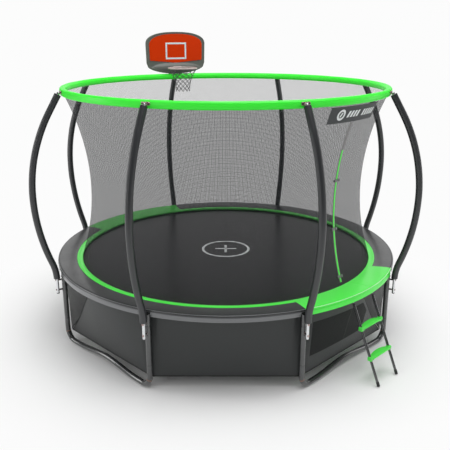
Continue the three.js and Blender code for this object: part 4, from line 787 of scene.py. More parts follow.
def makeSprings():
    spring = {"count": 72, "turns": 17, "steps": 8, "coil": 0.0056, "wire": 0.0013, "from": 1.652,
              "to": 1.796, "up": 0.778, "hookWire": 0.0014, "matHook": (1.636, 1.645, 1.656),
              "railHook": (1.8095, 1.803, 1.794), "hookUp": (0.779, 0.7795), "band": 0.016, "bandLow": 0.7785,
              "bandHigh": 0.7847}
    t = np.linspace(0, spring["turns"], spring["turns"] * spring["steps"] + 1)
    out = spring["from"] + (spring["to"] - spring["from"]) * t / spring["turns"]
    turn = 2 * np.pi * t
    x, z = spring["coil"] * np.cos(turn), spring["up"] + spring["coil"] * np.sin(turn)
    helix = np.column_stack([x, -out, z])
    coil = gridSurface(tubeGrid(helix, spring["wire"], 4, np.array([0, 1.0, 0])), closeV=True, capU=True)
    lines = [[[0, -out, up] for out, up in zip(spring[hook], (*spring["hookUp"], spring["up"]))]
             for hook in ("matHook", "railHook")]
    hooks = [bar(line, spring["hookWire"], (1, 0, 0), 6, 0.0004) for line in (lines[0], lines[1][::-1])]
    azimuths = (np.arange(spring["count"]) + 0.5) * 360 / spring["count"]
    shapes = [leaning(s, lambda p: atAzimuth(p, a)) for a in azimuths for s in (coil, *hooks)]
    inner, low, high = sizes["matOut"] + sizes["seat"], spring["bandLow"], spring["bandHigh"]
    outer = inner + spring["band"]
    section = np.array([[inner, low], [outer, low], [outer, high], [inner, high]])
    azimuth = np.linspace(0, 360, 144, endpoint=False)[:, None]
    band = turned(section[None, :, 0], azimuth, section[None, :, 1])
    shapes.append(gridSurface(band, closeU=True, closeV=True, finish=1))
    makePiece("coilSprings", shapes, [finishes["zincPlate"], finishes["blackTape"]],
              stands=["springs"])


makeSprings()
makeMat()
print("mat and springs made")


pad = {"inner": 1.600, "band": 1.664, "outer": 1.8618, "apronInner": 1.8588, "apronUp": 0.763,
       "restUp": 0.8048, "restOut": 1.81, "innerUp": 0.811, "outerUp": 0.829, "innerLow": 0.7905,
       "bandLift": 0.004, "crown": 0.0045, "bandCrown": 0.0032, "crownPower": 0.7, "step": 1.25,
       "notch": 0.045, "cut": 2, "seamUp": 0.8095, "stuffedFrom": (0.812, 0.820),
       "dents": ((0.0016, 0.30), (0.0005, 0.2)), "crossSeamAt": 4, "crossSeam": 0.0022, "weltIn": 0.0030,
       "weltUp": 0.8270, "welt": 0.0024, "greenWelt": 0.00336}


def padTop(out):    # top face's chord: straight from the inner to the outer edge
    share = (out - pad["inner"]) / (pad["outer"] - pad["inner"])
    return pad["innerUp"] + (pad["outerUp"] - pad["innerUp"]) * share


def padAzimuths(start, end, poles):    # even steps, with close pairs at both sides of each pole's notch
    fine = math.degrees(pad["notch"] / pad["outer"])
    stops = np.linspace(start, end, int((end - start) / pad["step"]) + 1)
    for p in poles:
        if start - 1 < p < end + 1:
            stops = np.concatenate([stops, p + fine * np.array([-1.06, -1, 1, 1.06])])
    return np.unique(np.clip(stops, start, end))


# Upper face between two edges, drawn from outside in: the chord plus a sine crown.
def padCrown(across, start, end, crown):
    share = (across - start) / (end - start)
    swell = crown * np.sin(np.pi * share) ** pad["crownPower"]
    return np.column_stack([across, padTop(across) + swell])[::-1]


# Section (out, up) with a seam groove and welt at the outer top edge, a hanging apron, and a flat underside.
def padSection(innerOut, apron):
    inner, outer = innerOut + 0.0006, pad["outer"]
    slope = (pad["restUp"] - pad["innerLow"]) / (pad["restOut"] - pad["inner"])
    low = pad["innerLow"] + slope * (innerOut - pad["inner"])
    hang = pad["apronUp"] if apron else pad["restUp"] + 0.0006
    crowned = padCrown(np.linspace(innerOut + 0.006, outer - 0.016, 9), innerOut, outer, pad["crown"])
    # apron, its bulge, the groove it is sewn along, the rounded side, and the dip behind the welt
    edge = [[0, hang], [0.0014, (hang + 0.806) / 2], [0.0004, 0.8070], [-0.0026, 0.8088], [-0.0026, 0.8112],
            [0.0020, 0.8130], [0.0016, 0.8220], [-0.0050, 0.8284], [-0.0095, 0.8262]]
    under = [[inner, low], [pad["restOut"], pad["restUp"]], [pad["apronInner"] - 0.0004, pad["restUp"]],
             [pad["apronInner"], hang]]
    return np.concatenate([under, np.array(edge) + [outer, 0], crowned, [[inner, padTop(innerOut) - 0.0005]]])


def bandSection():    # the green band along the inner edge of the grey sectors
    inner, outer, low = pad["inner"], pad["band"], pad["innerLow"]
    crowned = padCrown(np.linspace(inner + 0.005, outer - 0.004, 6), inner, outer, pad["bandCrown"])
    return np.concatenate([[[inner, low], [outer - 0.0004, low + pad["bandLift"]],
                            [outer - 0.0004, padTop(outer) - 0.001]], crowned, [[inner, pad["innerUp"] - 0.002]]])


# One section per azimuth, with its corners cut twice, makes a closed ring piece.
def padRing(sections, azimuths, seed, finish):
    loop = cornerCut(sections, pad["cut"])
    points = turned(loop[..., 0], azimuths[:, None], loop[..., 1])
    # soft dents, only on the stuffed top face
    stuffed = smoothStep(loop[..., 1], *pad["stuffedFrom"])
    points[..., 2] += stuffed * sum(deep * ripple(points, seed + k, size)
                                    for k, (deep, size) in enumerate(pad["dents"]))
    ring = gridSurface(points, closeV=True, capU=True, finish=finish)
    # what hangs outside, below the sewn groove, is the apron; on the grey sectors it takes finish 3, the sheet
    # painted paler as painted light
    place = ring["points"][ring["quads"]].mean(1)
    hanging = (place[:, 2] < pad["seamUp"]) & (np.hypot(place[:, 0], place[:, 1]) > pad["apronInner"] + 0.001)
    return {**ring, "finish": np.where(hanging & (finish == 0), 3, finish)}


def makePads():
    gap = math.degrees(0.0004 / pad["outer"])
    for name, node, start, end, green in (("padGreyRight", "pad_grey_right", 67.5, 202.5, False),
                                          ("padGreenBack", "pad_green_back", 202.5, 247.5, True),
                                          ("padGreyLeft", "pad_grey_left", 247.5, 382.5, False),
                                          ("padGreenEntrance", "pad_green_entrance", 22.5, 67.5, True)):
        poles = [a + turn for a in legAzimuths for turn in (0, 360)]
        azimuths = padAzimuths(start + gap, end - gap, poles)
        seamAt = (start + end) / 2 + pad["crossSeamAt"]
        if green:    # a seam runs across near the middle of the green sectors
            azimuths = np.unique(np.concatenate([azimuths, seamAt + np.array([-0.2, -0.1, 0, 0.1, 0.2])]))
        near = np.min(np.abs(azimuths[:, None] - np.array(poles)[None]), axis=1)
        notched = (near < math.degrees(pad["notch"] / pad["outer"]) * 1.03)[:, None, None]
        innerOut = pad["inner"] if green else pad["band"]
        plain, short = padSection(innerOut, node != "pad_green_entrance"), padSection(innerOut, False)
        shapes = [padRing(np.where(notched, short[None], plain[None]), azimuths, 20, 0)]
        if green:
            points = shapes[0]["points"]
            around = azimuths.repeat(len(points) // len(azimuths))
            onSeam = (np.abs(around - seamAt) < 0.05) * (points[:, 2] > pad["stuffedFrom"][0])
            points[:, 2] -= pad["crossSeam"] * onSeam
        else:
            even = np.linspace(start + gap, end - gap, 120)
            shapes.append(padRing(np.repeat(bandSection()[None], len(even), 0), even, 30, 1))
        spread = azimuths[np.concatenate([[True], np.diff(azimuths) > 0.2])]
        welt = turned(pad["outer"] - pad["weltIn"], spread, pad["weltUp"])
        # the welt takes finish 2, its pale tone a painted highlight along the outer edge
        shapes.append(bar(welt, pad["greenWelt" if green else "welt"], (0, 0, 1), 10, 0.0006, finish=2))
        skins = ("glossGreen", "glossGreen", "greenPipingHighlight", "glossGreen") if green else \
                ("padGrey", "glossGreen", "weltPipingHighlight", "apronGreyPaintedLight")
        piece = makePiece(name, shapes, [finishes[skin] for skin in skins],
                          stands=[node], sharp=50)


def makeEntranceFlap():
    flap = {"from": 24.0, "to": 66.0, "low": 0.7632, "high": 0.8042, "ridges": 3, "ridge": 0.0010,
            "bulge": 0.0012, "wave": 0.0012, "waveSize": 0.3, "thick": 0.0026, "hem": 0.002,
            "liftHigh": 0.045, "liftWide": (0.2, 0.62)}
    azimuth = np.linspace(flap["from"], flap["to"], 90)[:, None]
    share = np.linspace(0, 1, 22)[None]
    up = flap["low"] + (flap["high"] - flap["low"]) * share
    out = pad["outer"] - 0.0002 + flap["ridge"] * np.cos(share * 2 * np.pi * flap["ridges"])
    out = out + flap["bulge"] * np.sin(np.pi * share)
    wave = flap["wave"] * ripple(turned(out, azimuth, up), 41, flap["waveSize"]) * (1 - share)
    points = turned(out + wave, azimuth, up)
    piece = makePiece("entranceFlap", [shell(points, flap["thick"])], [finishes["glossGreen"]], body=None,
                      stands=["entrance_flap"], sharp=60)
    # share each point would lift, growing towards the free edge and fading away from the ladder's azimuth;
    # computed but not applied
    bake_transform(piece)
    place = atAzimuth(vertexPlaces(piece).astype(float), -45)
    lift = smoothStep(flap["high"] - place[:, 2], 0, flap["liftHigh"])
    lift = lift * (1 - smoothStep(np.abs(place[:, 0]), *flap["liftWide"]))


makePads()
makeEntranceFlap()
print("pads made")


skirt = {"low": 0.120, "high": 0.7650, "atLeg": 1.8034, "underRail": 1.8224, "thick": 0.0022, "hem": 0.012,
         "tape": 0.012, "pole": 67.5, "entry": 21, "tip": 0.012, "clear": 1.0, "fold": 0.0035,
         "foldSize": 0.55, "sideDrop": 0.020, "sideSlack": 0.030, "wideShare": 0.86}


# Reach of the cloth: a straight-sided octagon along its lower edge, the round rail along its upper edge.
def skirtOut(azimuth, up, loose=0.0):
    toPole = np.abs(azimuth - 45 * np.floor(azimuth / 45) - 22.5)
    top = skirt["underRail"] - (skirt["underRail"] - skirt["atLeg"]) * (1 - smoothStep(toPole, 1.3, 3.0))
    bottom = skirt["atLeg"] * math.cos(math.radians(22.5)) / np.cos(np.radians(22.5 - toPole))
    share = (up - skirt["low"]) / (skirt["high"] - skirt["low"])
    hanging = loose * smoothStep(toPole, 0, 12) * np.clip(1 - share, 0, 1) ** 2
    out = bottom + (top - bottom) * share - 0.0012 - hanging
    # folds run upright, because the height counts for less than the way round
    slack = skirt["fold"] * (ripple(turned(out, azimuth, up * 0.35), 50, skirt["foldSize"]) - 1) / 2
    return out + slack * smoothStep(toPole, 0.5, 6.0) * np.sin(np.pi * np.clip(share, 0, 1)) ** 0.5


def skirtCloth(azimuth, low, high, proud, thickness, finish, rows=20, loose=0.0):
    share = np.linspace(0, 1, rows)[None]
    up = low + (high - low) * share
    azimuth = azimuth[:, None] + 0 * share
    return shell(turned(skirtOut(azimuth, up, loose) + proud, azimuth, up), thickness, finish)


def freeEdge(azimuth):    # height of the slanted edge, which falls from the rail to the hem beside an entry
    past = np.maximum(0, np.abs(azimuth) - (skirt["pole"] - skirt["entry"]))
    fall = skirt["low"] + skirt["tip"] - skirt["high"]
    return skirt["high"] + fall * past / (skirt["entry"] - skirt["clear"])


# the faces towards the axis get finish 3, the cloth painted paler as painted light under the frame
def paintedPalerInside(cloth):    # finish 3 on the faces that look towards the axis
    faces = cloth["points"][cloth["quads"]]
    normal = np.cross(faces[:, 2] - faces[:, 0], faces[:, 3] - faces[:, 1])
    facing = (normal[:, :2] * faces.mean(1)[:, :2]).sum(1)
    return {**cloth, "finish": np.where(facing < 0, 3, 0)}


def makeWindow():
    window = {"from": 26.0, "seam": 42.3, "seamHalf": 0.25, "to": 53.0, "low": 0.292, "high": 0.655,
              "margin": 0.05, "proud": 0.0012, "thick": 0.0016, "tapeProud": 0.002, "tapeThick": 0.002}
    azimuth = np.linspace(window["from"], window["to"], 40)
    top = np.minimum(window["high"], freeEdge(azimuth) - window["margin"])
    seam = window["seam"] + window["seamHalf"] * np.linspace(-1, 1, 4)
    # finish 2: the window cloth, painted darker as painted shade
    return [skirtCloth(azimuth, window["low"], top[:, None], window["proud"], window["thick"], 2),
            skirtCloth(seam, window["low"], window["high"], window["tapeProud"], window["tapeThick"], 1)]


# The front and back panels are wide, with slanted free edges; the side panels fill the bay between two legs.
def makeSkirts():
    pole, clear = skirt["pole"], skirt["clear"]
    nearLeg = np.array([-3, -2.2, -1.3, 1.3, 2.2, 3])
    for k, (side, wide) in enumerate((("Front", True), ("Right", False), ("Back", True), ("Left", False))):
        middle = 90 * k
        if wide:
            reach, bottom, loose = pole - clear, skirt["low"], 0.0
            even = np.linspace(-reach, reach, int(reach * 2 / 0.9))
            azimuth = np.unique(np.concatenate([even, nearLeg - 22.5, nearLeg + 22.5]))
        else:
            reach, bottom, loose = 22.5 - clear, skirt["low"] - skirt["sideDrop"], skirt["sideSlack"]
            azimuth = np.linspace(-reach, reach, 50)
        high = freeEdge(azimuth)
        cloth = skirtCloth(azimuth + middle, bottom + 0.002, high[:, None], 0.0, skirt["thick"], 0, 24, loose)
        hemTop = np.minimum(bottom + skirt["hem"], high)
        hemThick = skirt["thick"] + 0.0016
        hem = skirtCloth(azimuth + middle, bottom, hemTop[:, None], 0.0012, hemThick, 1, 6, loose)
        shapes = [paintedPalerInside(cloth), hem]
        for hand in (-1, 1) if wide else ():    # tape along each slanted free edge
            slant = np.linspace(pole - skirt["entry"] + 0.2, pole - clear - 0.3, 40)
            edge = freeEdge(slant)[:, None]
            low = np.maximum(edge - skirt["tape"], skirt["low"] + 0.001)
            shapes.append(skirtCloth(hand * slant + middle, low, edge - 0.0006, 0.0008, 0.0034, 1, 4))
        if side == "Front":
            shapes += makeWindow()
        skins = ("skirtCloth" if wide else "ventCloth", "blackTape", "windowMesh", "skirtInsidePaintedLight")
        piece = makePiece(f"skirt{side}", shapes, [finishes[skin] for skin in skins],
                          stands=[f"skirt_{side.lower()}"], sharp=50)


makeSkirts()
print("skirt made")


ladder = {"half": 0.159, "tube": 0.013, "footOut": 2.185, "topUp": 0.745, "topReach": 0.029,
          "hingeOut": 1.82408, "hookRadius": 0.0251, "hookThick": 0.003, "hookWidth": 0.022, "hookEnd": 140,
          "steps": (0.254, 0.520), "depth": 0.084, "endDepth": 0.042, "thick": 0.024, "underShare": 0.62,
          "arch": 0.016, "clamp": 0.040, "grooves": 7, "groove": 0.0011}


def ladderOut(up):    # straight rail from the foot to just outside the hook
    run = ladder["hingeOut"] + ladder["topReach"] - ladder["footOut"]
    return ladder["footOut"] + run * up / ladder["topUp"]


def makeLadderRails():
    for name, side in (("left", -1), ("right", 1)):
        x = side * ladder["half"]
        ends = [[x, -ladderOut(up), up] for up in (0.012, 0.2, 0.45, ladder["topUp"] - 0.004)]
        foot = [[x, -ladderOut(up), up] for up in (0.0072, 0.05)]
        top = [[x, -ladderOut(up), up] for up in (ladder["topUp"] - 0.014, ladder["topUp"] - 0.001)]
        turn = np.radians(np.concatenate([[0.0], np.linspace(0, ladder["hookEnd"], 24)]))
        out, up = ladder["hookRadius"] * np.cos(turn), ladder["hookRadius"] * np.sin(turn)
        up[0] = ladder["topUp"] - 0.012 - sizes["frameUp"]
        wide = np.linspace(-1, 1, 5)[None] * ladder["hookWidth"] / 2
        centre = np.stack([x + wide + 0 * out[:, None], -(ladder["hingeOut"] + out[:, None]) + 0 * wide,
                           sizes["frameUp"] + up[:, None] + 0 * wide], -1)
        normal = unit(np.cross(np.gradient(centre, axis=0), np.gradient(centre, axis=1)))
        hook = shell(centre + normal * ladder["hookThick"] / 2, ladder["hookThick"])
        shapes = [bar(ends, ladder["tube"], (1, 0, 0), 20),
                  bar(foot, ladder["tube"] + 0.002, (1, 0, 0), 20, 0.004, 1),
                  bar(top, ladder["tube"] + 0.0008, (1, 0, 0), 20, 0.003, 1), hook]
        shapes = [leaning(s, lambda p: atAzimuth(p, 45)) for s in shapes]
        makePiece(f"ladderRail_{name}", shapes, [finishes["powderCoat"], finishes["blackPlastic"]], "ladder",
                  [f"ladder_rail_{name}"])


# Leaf-shaped tread: the section's half depth and lift follow a bow, 1 in the middle and 0 at the clamps.
def makeLadderSteps():
    inner = ladder["half"] - ladder["clamp"] / 2
    for name, up in zip(("lower", "upper"), ladder["steps"]):
        x = inner * np.sin(np.linspace(-1, 1, 61) * np.pi / 2)
        bow = np.maximum(0, 1 - (x / inner) ** 2)
        halfDepth = (ladder["endDepth"] + (ladder["depth"] - ladder["endDepth"]) * bow ** 0.6) / 2
        t = circle(56)[None]
        flat, rise = signedPower(np.cos(t), 0.6), signedPower(np.sin(t), 0.75)
        grooved = (np.sin(t) > 0.35) * (bow[:, None] > 0.12)
        grip = ladder["groove"] * np.cos(flat * ladder["grooves"] * np.pi) * grooved
        tall = np.where(np.sin(t) < 0, ladder["underShare"], 1.0) * ladder["thick"] / 2
        points = np.stack([x[:, None] + 0 * t, -(ladderOut(up) + halfDepth[:, None] * flat),
                           up + ladder["arch"] * bow[:, None] + tall * rise + grip], -1)
        shapes = [gridSurface(points, closeV=True, capU=True)]
        for side in (-1, 1):
            block = roundedBox(ladder["clamp"], ladder["endDepth"], 0.009)
            out = ladderOut(up)
            shapes.append(slab(block, out - ladder["endDepth"] / 2, out + ladder["endDepth"] / 2, 0.006,
                               (side * ladder["half"], up)))
            x = side * ladder["half"]
            shapes.append(outwardBar(x, out + 0.0195, out + 0.0235, up - 0.006, 0.0055, 6, 0.001, 1))
            rib = roundedBox(0.012, 0.024, 0.004)
            shapes.append(slab(rib, out - 0.018, out + 0.0225, 0.003, (side * (inner - 0.004), up - 0.004)))
        shapes = [leaning(s, lambda p: atAzimuth(p, 45)) for s in shapes]
        makePiece(f"ladderStep_{name}", shapes, [finishes["mouldedGreen"], finishes["passivatedZinc"]], "ladder",
                  [f"ladder_step_{name}"])


makeLadderRails()
makeLadderSteps()
print("ladder made")


board = {"azimuth": 202.5, "half": 0.393, "low": 2.6448, "sideLow": 2.767, "sideHigh": 3.012, "high": 3.160,
         "thick": 0.030, "edge": 0.007, "lip": 0.0055, "border": 0.040, "roundness": 2.4, "bulge": 0.040,
         "bulgeHalf": 0.33, "faceLow": 2.810, "facePoint": 2.781, "strapHalf": 0.075, "strap": 0.030}
boardIn = sizes["hoopOut"] - board["thick"] / 2


# Closed outline from the middle of the lower edge, counter-clockwise: lower curve, side, arch and their
# mirror.
def boardOutline(half, sideLow, sideHigh, high, lower, count=26):
    a = np.linspace(0, np.pi / 2, count)
    power = 2 / board["roundness"]
    arch = np.column_stack([half * np.cos(a) ** power, sideHigh + (high - sideHigh) * np.sin(a) ** power])
    side = np.column_stack([np.linspace(half * 0.985, half, 8), np.linspace(sideLow, sideHigh, 8)])[:-1]
    right = np.concatenate([lower, side, arch])
    left = (right * [-1, 1])[1:-1][::-1]
    return np.concatenate([right, left])


def resampled(outline, count):    # equal steps round a closed outline
    closed = np.concatenate([outline, outline[:1]])
    walked = np.concatenate([[0], np.cumsum(np.linalg.norm(np.diff(closed, axis=0), axis=1))])
    stops = np.linspace(0, walked[-1], count, endpoint=False)
    return np.column_stack([np.interp(stops, walked, closed[:, k]) for k in (0, 1)])


def makeBoard():
    share = np.linspace(0, 0.93, 14)
    lower = np.column_stack([board["half"] * share,
                             board["sideLow"] - (board["sideLow"] - board["low"]) * np.sqrt(1 - share ** 2)])
    outline = boardOutline(board["half"], board["sideLow"] + 0.01, board["sideHigh"], board["high"], lower)
    outline = resampled(outline, 180)
    middle = np.array([0, (board["low"] + board["high"]) / 2])
    flat = np.linspace(0.02, 0.90, 26)    # shares of the outline, from the middle of the front to the lip
    lipShares, lipRaise = (0.93, 0.95, 0.965, 0.98), (0.001, 0.0035, 0.005, board["lip"])
    edge = np.radians([20, 45, 70, 90])
    around = [inset(outline, board["edge"] * (1 - math.sin(e))) for e in edge]

    def shrunk(shares):
        return [middle + (outline - middle) * share for share in shares]

    # rings from the middle of the front, over the rounded edge, to the back
    rings = np.array(shrunk([*flat, *lipShares]) + around + around[::-1] + shrunk((0.9, 0.5, 0.02)))
    halfHeight = (board["facePoint"] - board["low"]) / 2
    across = rings[..., 0] / board["bulgeHalf"]
    above = (rings[..., 1] - board["low"] - halfHeight) / halfHeight
    swell = board["bulge"] * np.sqrt(np.clip(1 - across ** 2 - above ** 2, 0, 1)) ** 1.2
    rounding = board["edge"] * (1 - np.cos(edge))
    boardOut = boardIn + board["thick"]
    depth = np.concatenate([np.full(len(flat), boardIn) + 0.0005, boardIn - np.array(lipRaise) + 0.0005,
                            boardIn + rounding - board["lip"], boardOut - rounding[::-1],
                            np.full(3, boardOut)])
    frontCount = len(flat) + len(lipShares)
    out = depth[:, None] - np.where(np.arange(len(rings))[:, None] < frontCount, swell, 0)
    points = np.stack([rings[..., 0], -out, rings[..., 1]], -1)
    shapes = [gridSurface(points, closeV=True, capU=True)]
    strapOut = sizes["hoopOut"] + sizes["coverWidth"] / 2 + sizes["seat"]
    footUp = board["sideLow"] - board["strap"] / 2
    for side in (-board["strapHalf"], board["strapHalf"]):
        strap = roundedBox(board["strap"], board["sideLow"] - sizes["hoopUp"], 0.006)
        centre = (side, (board["sideLow"] + sizes["hoopUp"]) / 2)
        shapes.append(slab(strap, strapOut, strapOut + 0.006, 0.0015, centre, 1))
        foot = roundedBox(board["strap"], board["strap"], 0.005)
        shapes.append(slab(foot, boardOut - 0.002, strapOut + 0.004, 0.0015, (side, footUp), 1))
        for up in (sizes["hoopUp"] + 0.02, footUp):
            shapes.append(outwardBar(side, strapOut + 0.005, strapOut + 0.010, up, 0.008, 6, 0.001, 2))
    shapes = [leaning(s, lambda p: atAzimuth(p, board["azimuth"])) for s in shapes]
    skins = [finishes["mouldedGrey"], finishes["powderCoat"], finishes["passivatedZinc"]]
    makePiece("backboardFrame", shapes, skins, stands=["board_frame"], sharp=45)


def makeBoardFace():
    face = {"thick": 0.004, "box": (0.276, 0.205), "line": 0.020, "boxUp": 2.927, "ink": 0.0006}
    half = board["half"] - board["border"]
    # lower edge: two straight runs that meet in a shallow point
    lowerUp = np.linspace(board["facePoint"], board["faceLow"], 14)
    lower = np.column_stack([np.linspace(0, half * 0.97, 14), lowerUp])
    outline = boardOutline(half, board["faceLow"] + 0.004, board["sideHigh"] - board["border"] / 2,
                           board["high"] - 0.025, lower)
    outline = resampled(outline, 160)
    front = boardIn - sizes["seat"] - face["thick"]
    shapes = [slab(outline, front, boardIn - sizes["seat"], 0.0014)]
    width, height = face["box"]
    ring = np.array([[-1, -1], [1, -1], [1, 1], [-1, 1]])
    outer = ring * [width / 2, height / 2]
    inner = ring * [width / 2 - face["line"], height / 2 - face["line"]]
    below, above = front + 0.0002, front - face["ink"]
    rows = [np.column_stack([corners[:, 0], np.full(4, -d), corners[:, 1] + face["boxUp"]])
            for corners, d in ((outer, below), (outer, above), (inner, above), (inner, below))]
    shapes.append(gridSurface(np.array(rows), closeU=True, closeV=True, finish=1))
    shapes = [leaning(s, lambda p: atAzimuth(p, board["azimuth"])) for s in shapes]
    makePiece("backboardFace", shapes, [finishes["printedOrange"], finishes["printedWhite"]],
              stands=["board_face"])


rim = {"radius": 0.177, "tube": 0.008, "reach": 0.256, "up": 2.725, "plateHalf": 0.055, "plateTall": 0.046,
       "arm": 0.006, "eye": 0.007, "eyeWire": 0.0013, "netLow": 2.445, "strands": 10, "cord": 0.0024,
       "rows": 4.5, "knot": 0.0034, "knotHalf": 0.004, "slack": 0.0012}
rimOut = boardIn - rim["reach"]


def rimRing(radius, tube, up, around, sides, finish=0):
    t, s = circle(around)[:, None], circle(sides)[None]
    r = radius + tube * np.cos(s)
    points = np.stack([r * np.sin(t), -rimOut - r * np.cos(t), up + tube * np.sin(s) + 0 * t], -1)
    return gridSurface(points, closeU=True, closeV=True, finish=finish)


def makeRim():
    plateOut = boardIn - board["bulge"] - sizes["seat"]
    shapes = [rimRing(rim["radius"], rim["tube"], rim["up"], 96, 14)]
    plate = roundedBox(2 * rim["plateHalf"], rim["plateTall"], 0.008)
    shapes.append(slab(plate, plateOut - 0.005, plateOut, 0.001, (0, rim["up"] - 0.011)))
    for side in (-1, 1):
        x = side * rim["plateHalf"] * 0.8
        ringOut = rimOut + math.sqrt(rim["radius"] ** 2 - x ** 2)
        arm = [[x, -(out - 0.002), rim["up"]] for out in (ringOut, plateOut)]
        shapes.append(bar(arm, rim["arm"], (0, 0, 1), 14))
        shapes.append(outwardBar(x, plateOut - 0.009, plateOut - 0.004, rim["up"] - 0.022, 0.006, 6, 0.001, 1))
    web = roundedBox(2 * rim["plateHalf"] * 0.8, 0.006, 0.002)
    shapes.append(slab(web, rimOut + rim["radius"] - 0.012, plateOut - 0.003, 0.001, (0, rim["up"] + 0.001)))
    # wire eyes for the net, under the rim
    for k in range(rim["strands"]):
        a = 2 * np.pi * k / rim["strands"]
        t = np.linspace(-np.pi / 2, np.pi / 2, 9)
        r = rim["radius"] + rim["eye"] * np.sin(t)
        eye = np.column_stack([r * math.sin(a), -rimOut - r * math.cos(a),
                               rim["up"] - rim["tube"] * 0.8 - 0.0055 * np.cos(t)])
        shapes.append(bar(eye, rim["eyeWire"], (math.cos(a), math.sin(a), 0), 6, 0.0004))
    shapes = [leaning(s, lambda p: atAzimuth(p, board["azimuth"])) for s in shapes]
    makePiece("hoopRim", shapes, [finishes["rimEnamel"], finishes["passivatedZinc"]],
              stands=["rim"])


# Each cord spirals down half a mesh per row while the net narrows; cords of both hands cross at the knots.
def makeRimNet():
    top = rim["up"] - rim["tube"] - 0.005

    def narrowing(share):    # reach of the net from the rim's axis, at a share of the way down
        return rim["radius"] * (0.5 + 0.5 * (1 - share) ** 2.2) - 0.002

    t = np.linspace(0, 1, 40)
    shapes = []
    for hand in (-1, 1):
        for k in range(rim["strands"]):
            a = 2 * np.pi * (k + hand * t * rim["rows"]) / rim["strands"]
            r = narrowing(t) + rim["slack"] * hand * np.cos(2 * np.pi * t * rim["rows"])
            path = np.column_stack([r * np.sin(a), -rimOut - r * np.cos(a), top - (top - rim["netLow"]) * t])
            shapes.append(bar(path, rim["cord"], (0, 0, 1), 6, 0.0006))
    for crossing in range(2, int(2 * rim["rows"]) + 1):
        level = crossing / (2 * rim["rows"])
        r, up = narrowing(level), top - (top - rim["netLow"]) * level
        for k in range(rim["strands"]):
            a = 2 * np.pi * (k + 0.5 * ((level * rim["rows"] * 2) % 2)) / rim["strands"]
            x, y = r * math.sin(a), -rimOut - r * math.cos(a)
            ends = [[x, y, up + hand * rim["knotHalf"]] for hand in (-1, 1)]
            shapes.append(bar(ends, rim["knot"], (1, 0, 0), 8, 0.0025))
    shapes = [leaning(s, lambda p: atAzimuth(p, board["azimuth"])) for s in shapes]
    makePiece("rimNetCords", shapes, [finishes["nylonCord"]], stands=["rim_net"])


makeBoard()
makeBoardFace()
makeRim()
makeRimNet()
print("backboard made")


studio = {"background": "#fcfcfc", "floor": "#f8f8f8", "floorReach": 30.0, "floorRough": 0.9,
          "floorSpecular": 0.1, "fadeFrom": 1.9, "fadeTo": 3.3, "worldLight": 0.5, "mirrored": 0.12}
viewpoint = {"back": 6.803, "up": 3.2055, "pitch": 17.42, "lens": 50.21, "sensor": 36.0, "shift": -0.0016}


def makeFloor():
    mesh = bpy.data.meshes.new("studioFloor")
    reach = studio["floorReach"]
    corners = [(reach * x, reach * y, 0) for x, y in ((-1, -1), (1, -1), (1, 1), (-1, 1))]
    mesh.from_pydata(corners, [], [(0, 1, 2, 3)])
    floor = bpy.data.objects.new("studioFloor", mesh)
    bpy.context.scene.collection.objects.link(floor)
    # pale painted floor that runs into the backdrop with no line between them
    material = bpy.data.materials.new("paleFloor")
    material.use_nodes = True
    tree = material.node_tree
    output = tree.nodes["Material Output"]
    shader = tree.nodes["Principled BSDF"]
    shader.inputs["Base Color"].default_value = linear(studio["floor"])
    shader.inputs["Roughness"].default_value = studio["floorRough"]
    shader.inputs["Specular IOR Level"].default_value = studio["floorSpecular"]
    glow = addNode(tree, "Emission", {"Color": linear(studio["background"]), "Strength": 1.0})
    place = addNode(tree, "TexCoord").outputs["Object"]
    far = addNode(tree, "VectorMath", {0: place}, operation="LENGTH").outputs["Value"]
    edges = {0: far, 1: studio["fadeFrom"], 2: studio["fadeTo"]}
    fade = addNode(tree, "MapRange", edges, interpolation_type="SMOOTHSTEP").outputs[0]
    seen = addNode(tree, "LightPath").outputs["Is Camera Ray"]
    share = addNode(tree, "Math", {0: fade, 1: seen}, operation="MULTIPLY").outputs[0]
    mixed = addNode(tree, "MixShader", {0: share, 1: shader.outputs[0], 2: glow.outputs[0]})
    tree.links.new(mixed.outputs[0], output.inputs["Surface"])
    mesh.materials.append(material)


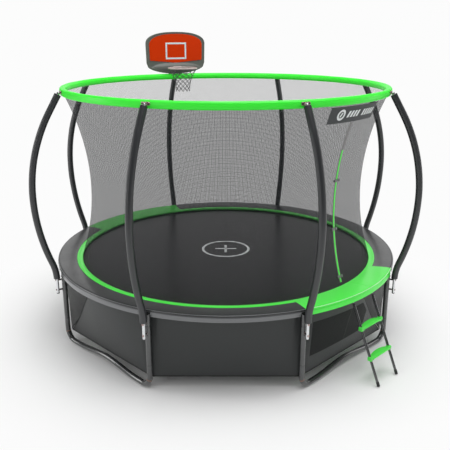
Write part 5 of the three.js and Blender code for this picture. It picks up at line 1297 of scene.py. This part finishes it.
def makeWorld():
    world = bpy.data.worlds.new("studio")
    bpy.context.scene.world = world
    world.use_nodes = True
    tree = world.node_tree
    lit = tree.nodes["Background"]
    lit.inputs["Color"].default_value = linear("#ffffff")
    lit.inputs["Strength"].default_value = studio["worldLight"]
    seen = addNode(tree, "LightPath")
    backdrop = addNode(tree, "Background", {"Color": linear(studio["background"]), "Strength": 1.0})
    dim = addNode(tree, "Background", {"Color": linear("#ffffff"), "Strength": studio["mirrored"]})
    result = lit
    for ray, other in (("Is Glossy Ray", dim), ("Is Camera Ray", backdrop)):
        result = addNode(tree, "MixShader", {0: seen.outputs[ray], 1: result.outputs[0], 2: other.outputs[0]})
    tree.links.new(result.outputs[0], tree.nodes["World Output"].inputs["Surface"])


def makeLamps():
    # soft boxes all round but behind the camera, so tubes get light edges and a dark core
    lamps = {"overhead": {"place": (0.9, -0.9, 8.0), "size": (6.0, 6.0), "power": 430},
             "front": {"place": (-6.0, -7.0, 3.2), "size": (1.0, 4.5), "power": 55},
             "side": {"place": (7.5, -5.0, 3.0), "size": (0.8, 4.5), "power": 24},
             "back": {"place": (0.0, 10.0, 3.6), "size": (13.0, 6.0), "power": 220},
             "left": {"place": (-8.0, -0.8, 2.9), "size": (2.0, 4.6), "power": 110},
             "right": {"place": (8.0, 1.5, 2.8), "size": (2.0, 4.6), "power": 60}}
    for name, lamp in lamps.items():
        light = bpy.data.lights.new(name, "AREA")
        light.shape, light.energy = "RECTANGLE", lamp["power"]
        light.size, light.size_y = lamp["size"]
        holder = bpy.data.objects.new(name, light)
        bpy.context.scene.collection.objects.link(holder)
        holder.location = lamp["place"]
        holder.visible_camera = False
        away = unit(np.array([lamp["place"]]) - [0, 0, 0.8])[0]
        holder.rotation_euler = (math.acos(away[2]), 0, math.atan2(away[0], -away[1]))


def makeCamera():
    camera = bpy.data.cameras.new("camera")
    camera.lens, camera.sensor_width = viewpoint["lens"], viewpoint["sensor"]
    camera.shift_x = viewpoint["shift"]
    holder = bpy.data.objects.new("camera", camera)
    bpy.context.scene.collection.objects.link(holder)
    holder.location = (0, -viewpoint["back"], viewpoint["up"])
    holder.rotation_euler = (math.radians(90 - viewpoint["pitch"]), 0, 0)
    bpy.context.scene.camera = holder


makeFloor()
makeWorld()
makeLamps()
makeCamera()
bpy.context.scene.view_settings.view_transform = "Standard"

print("scene complete")
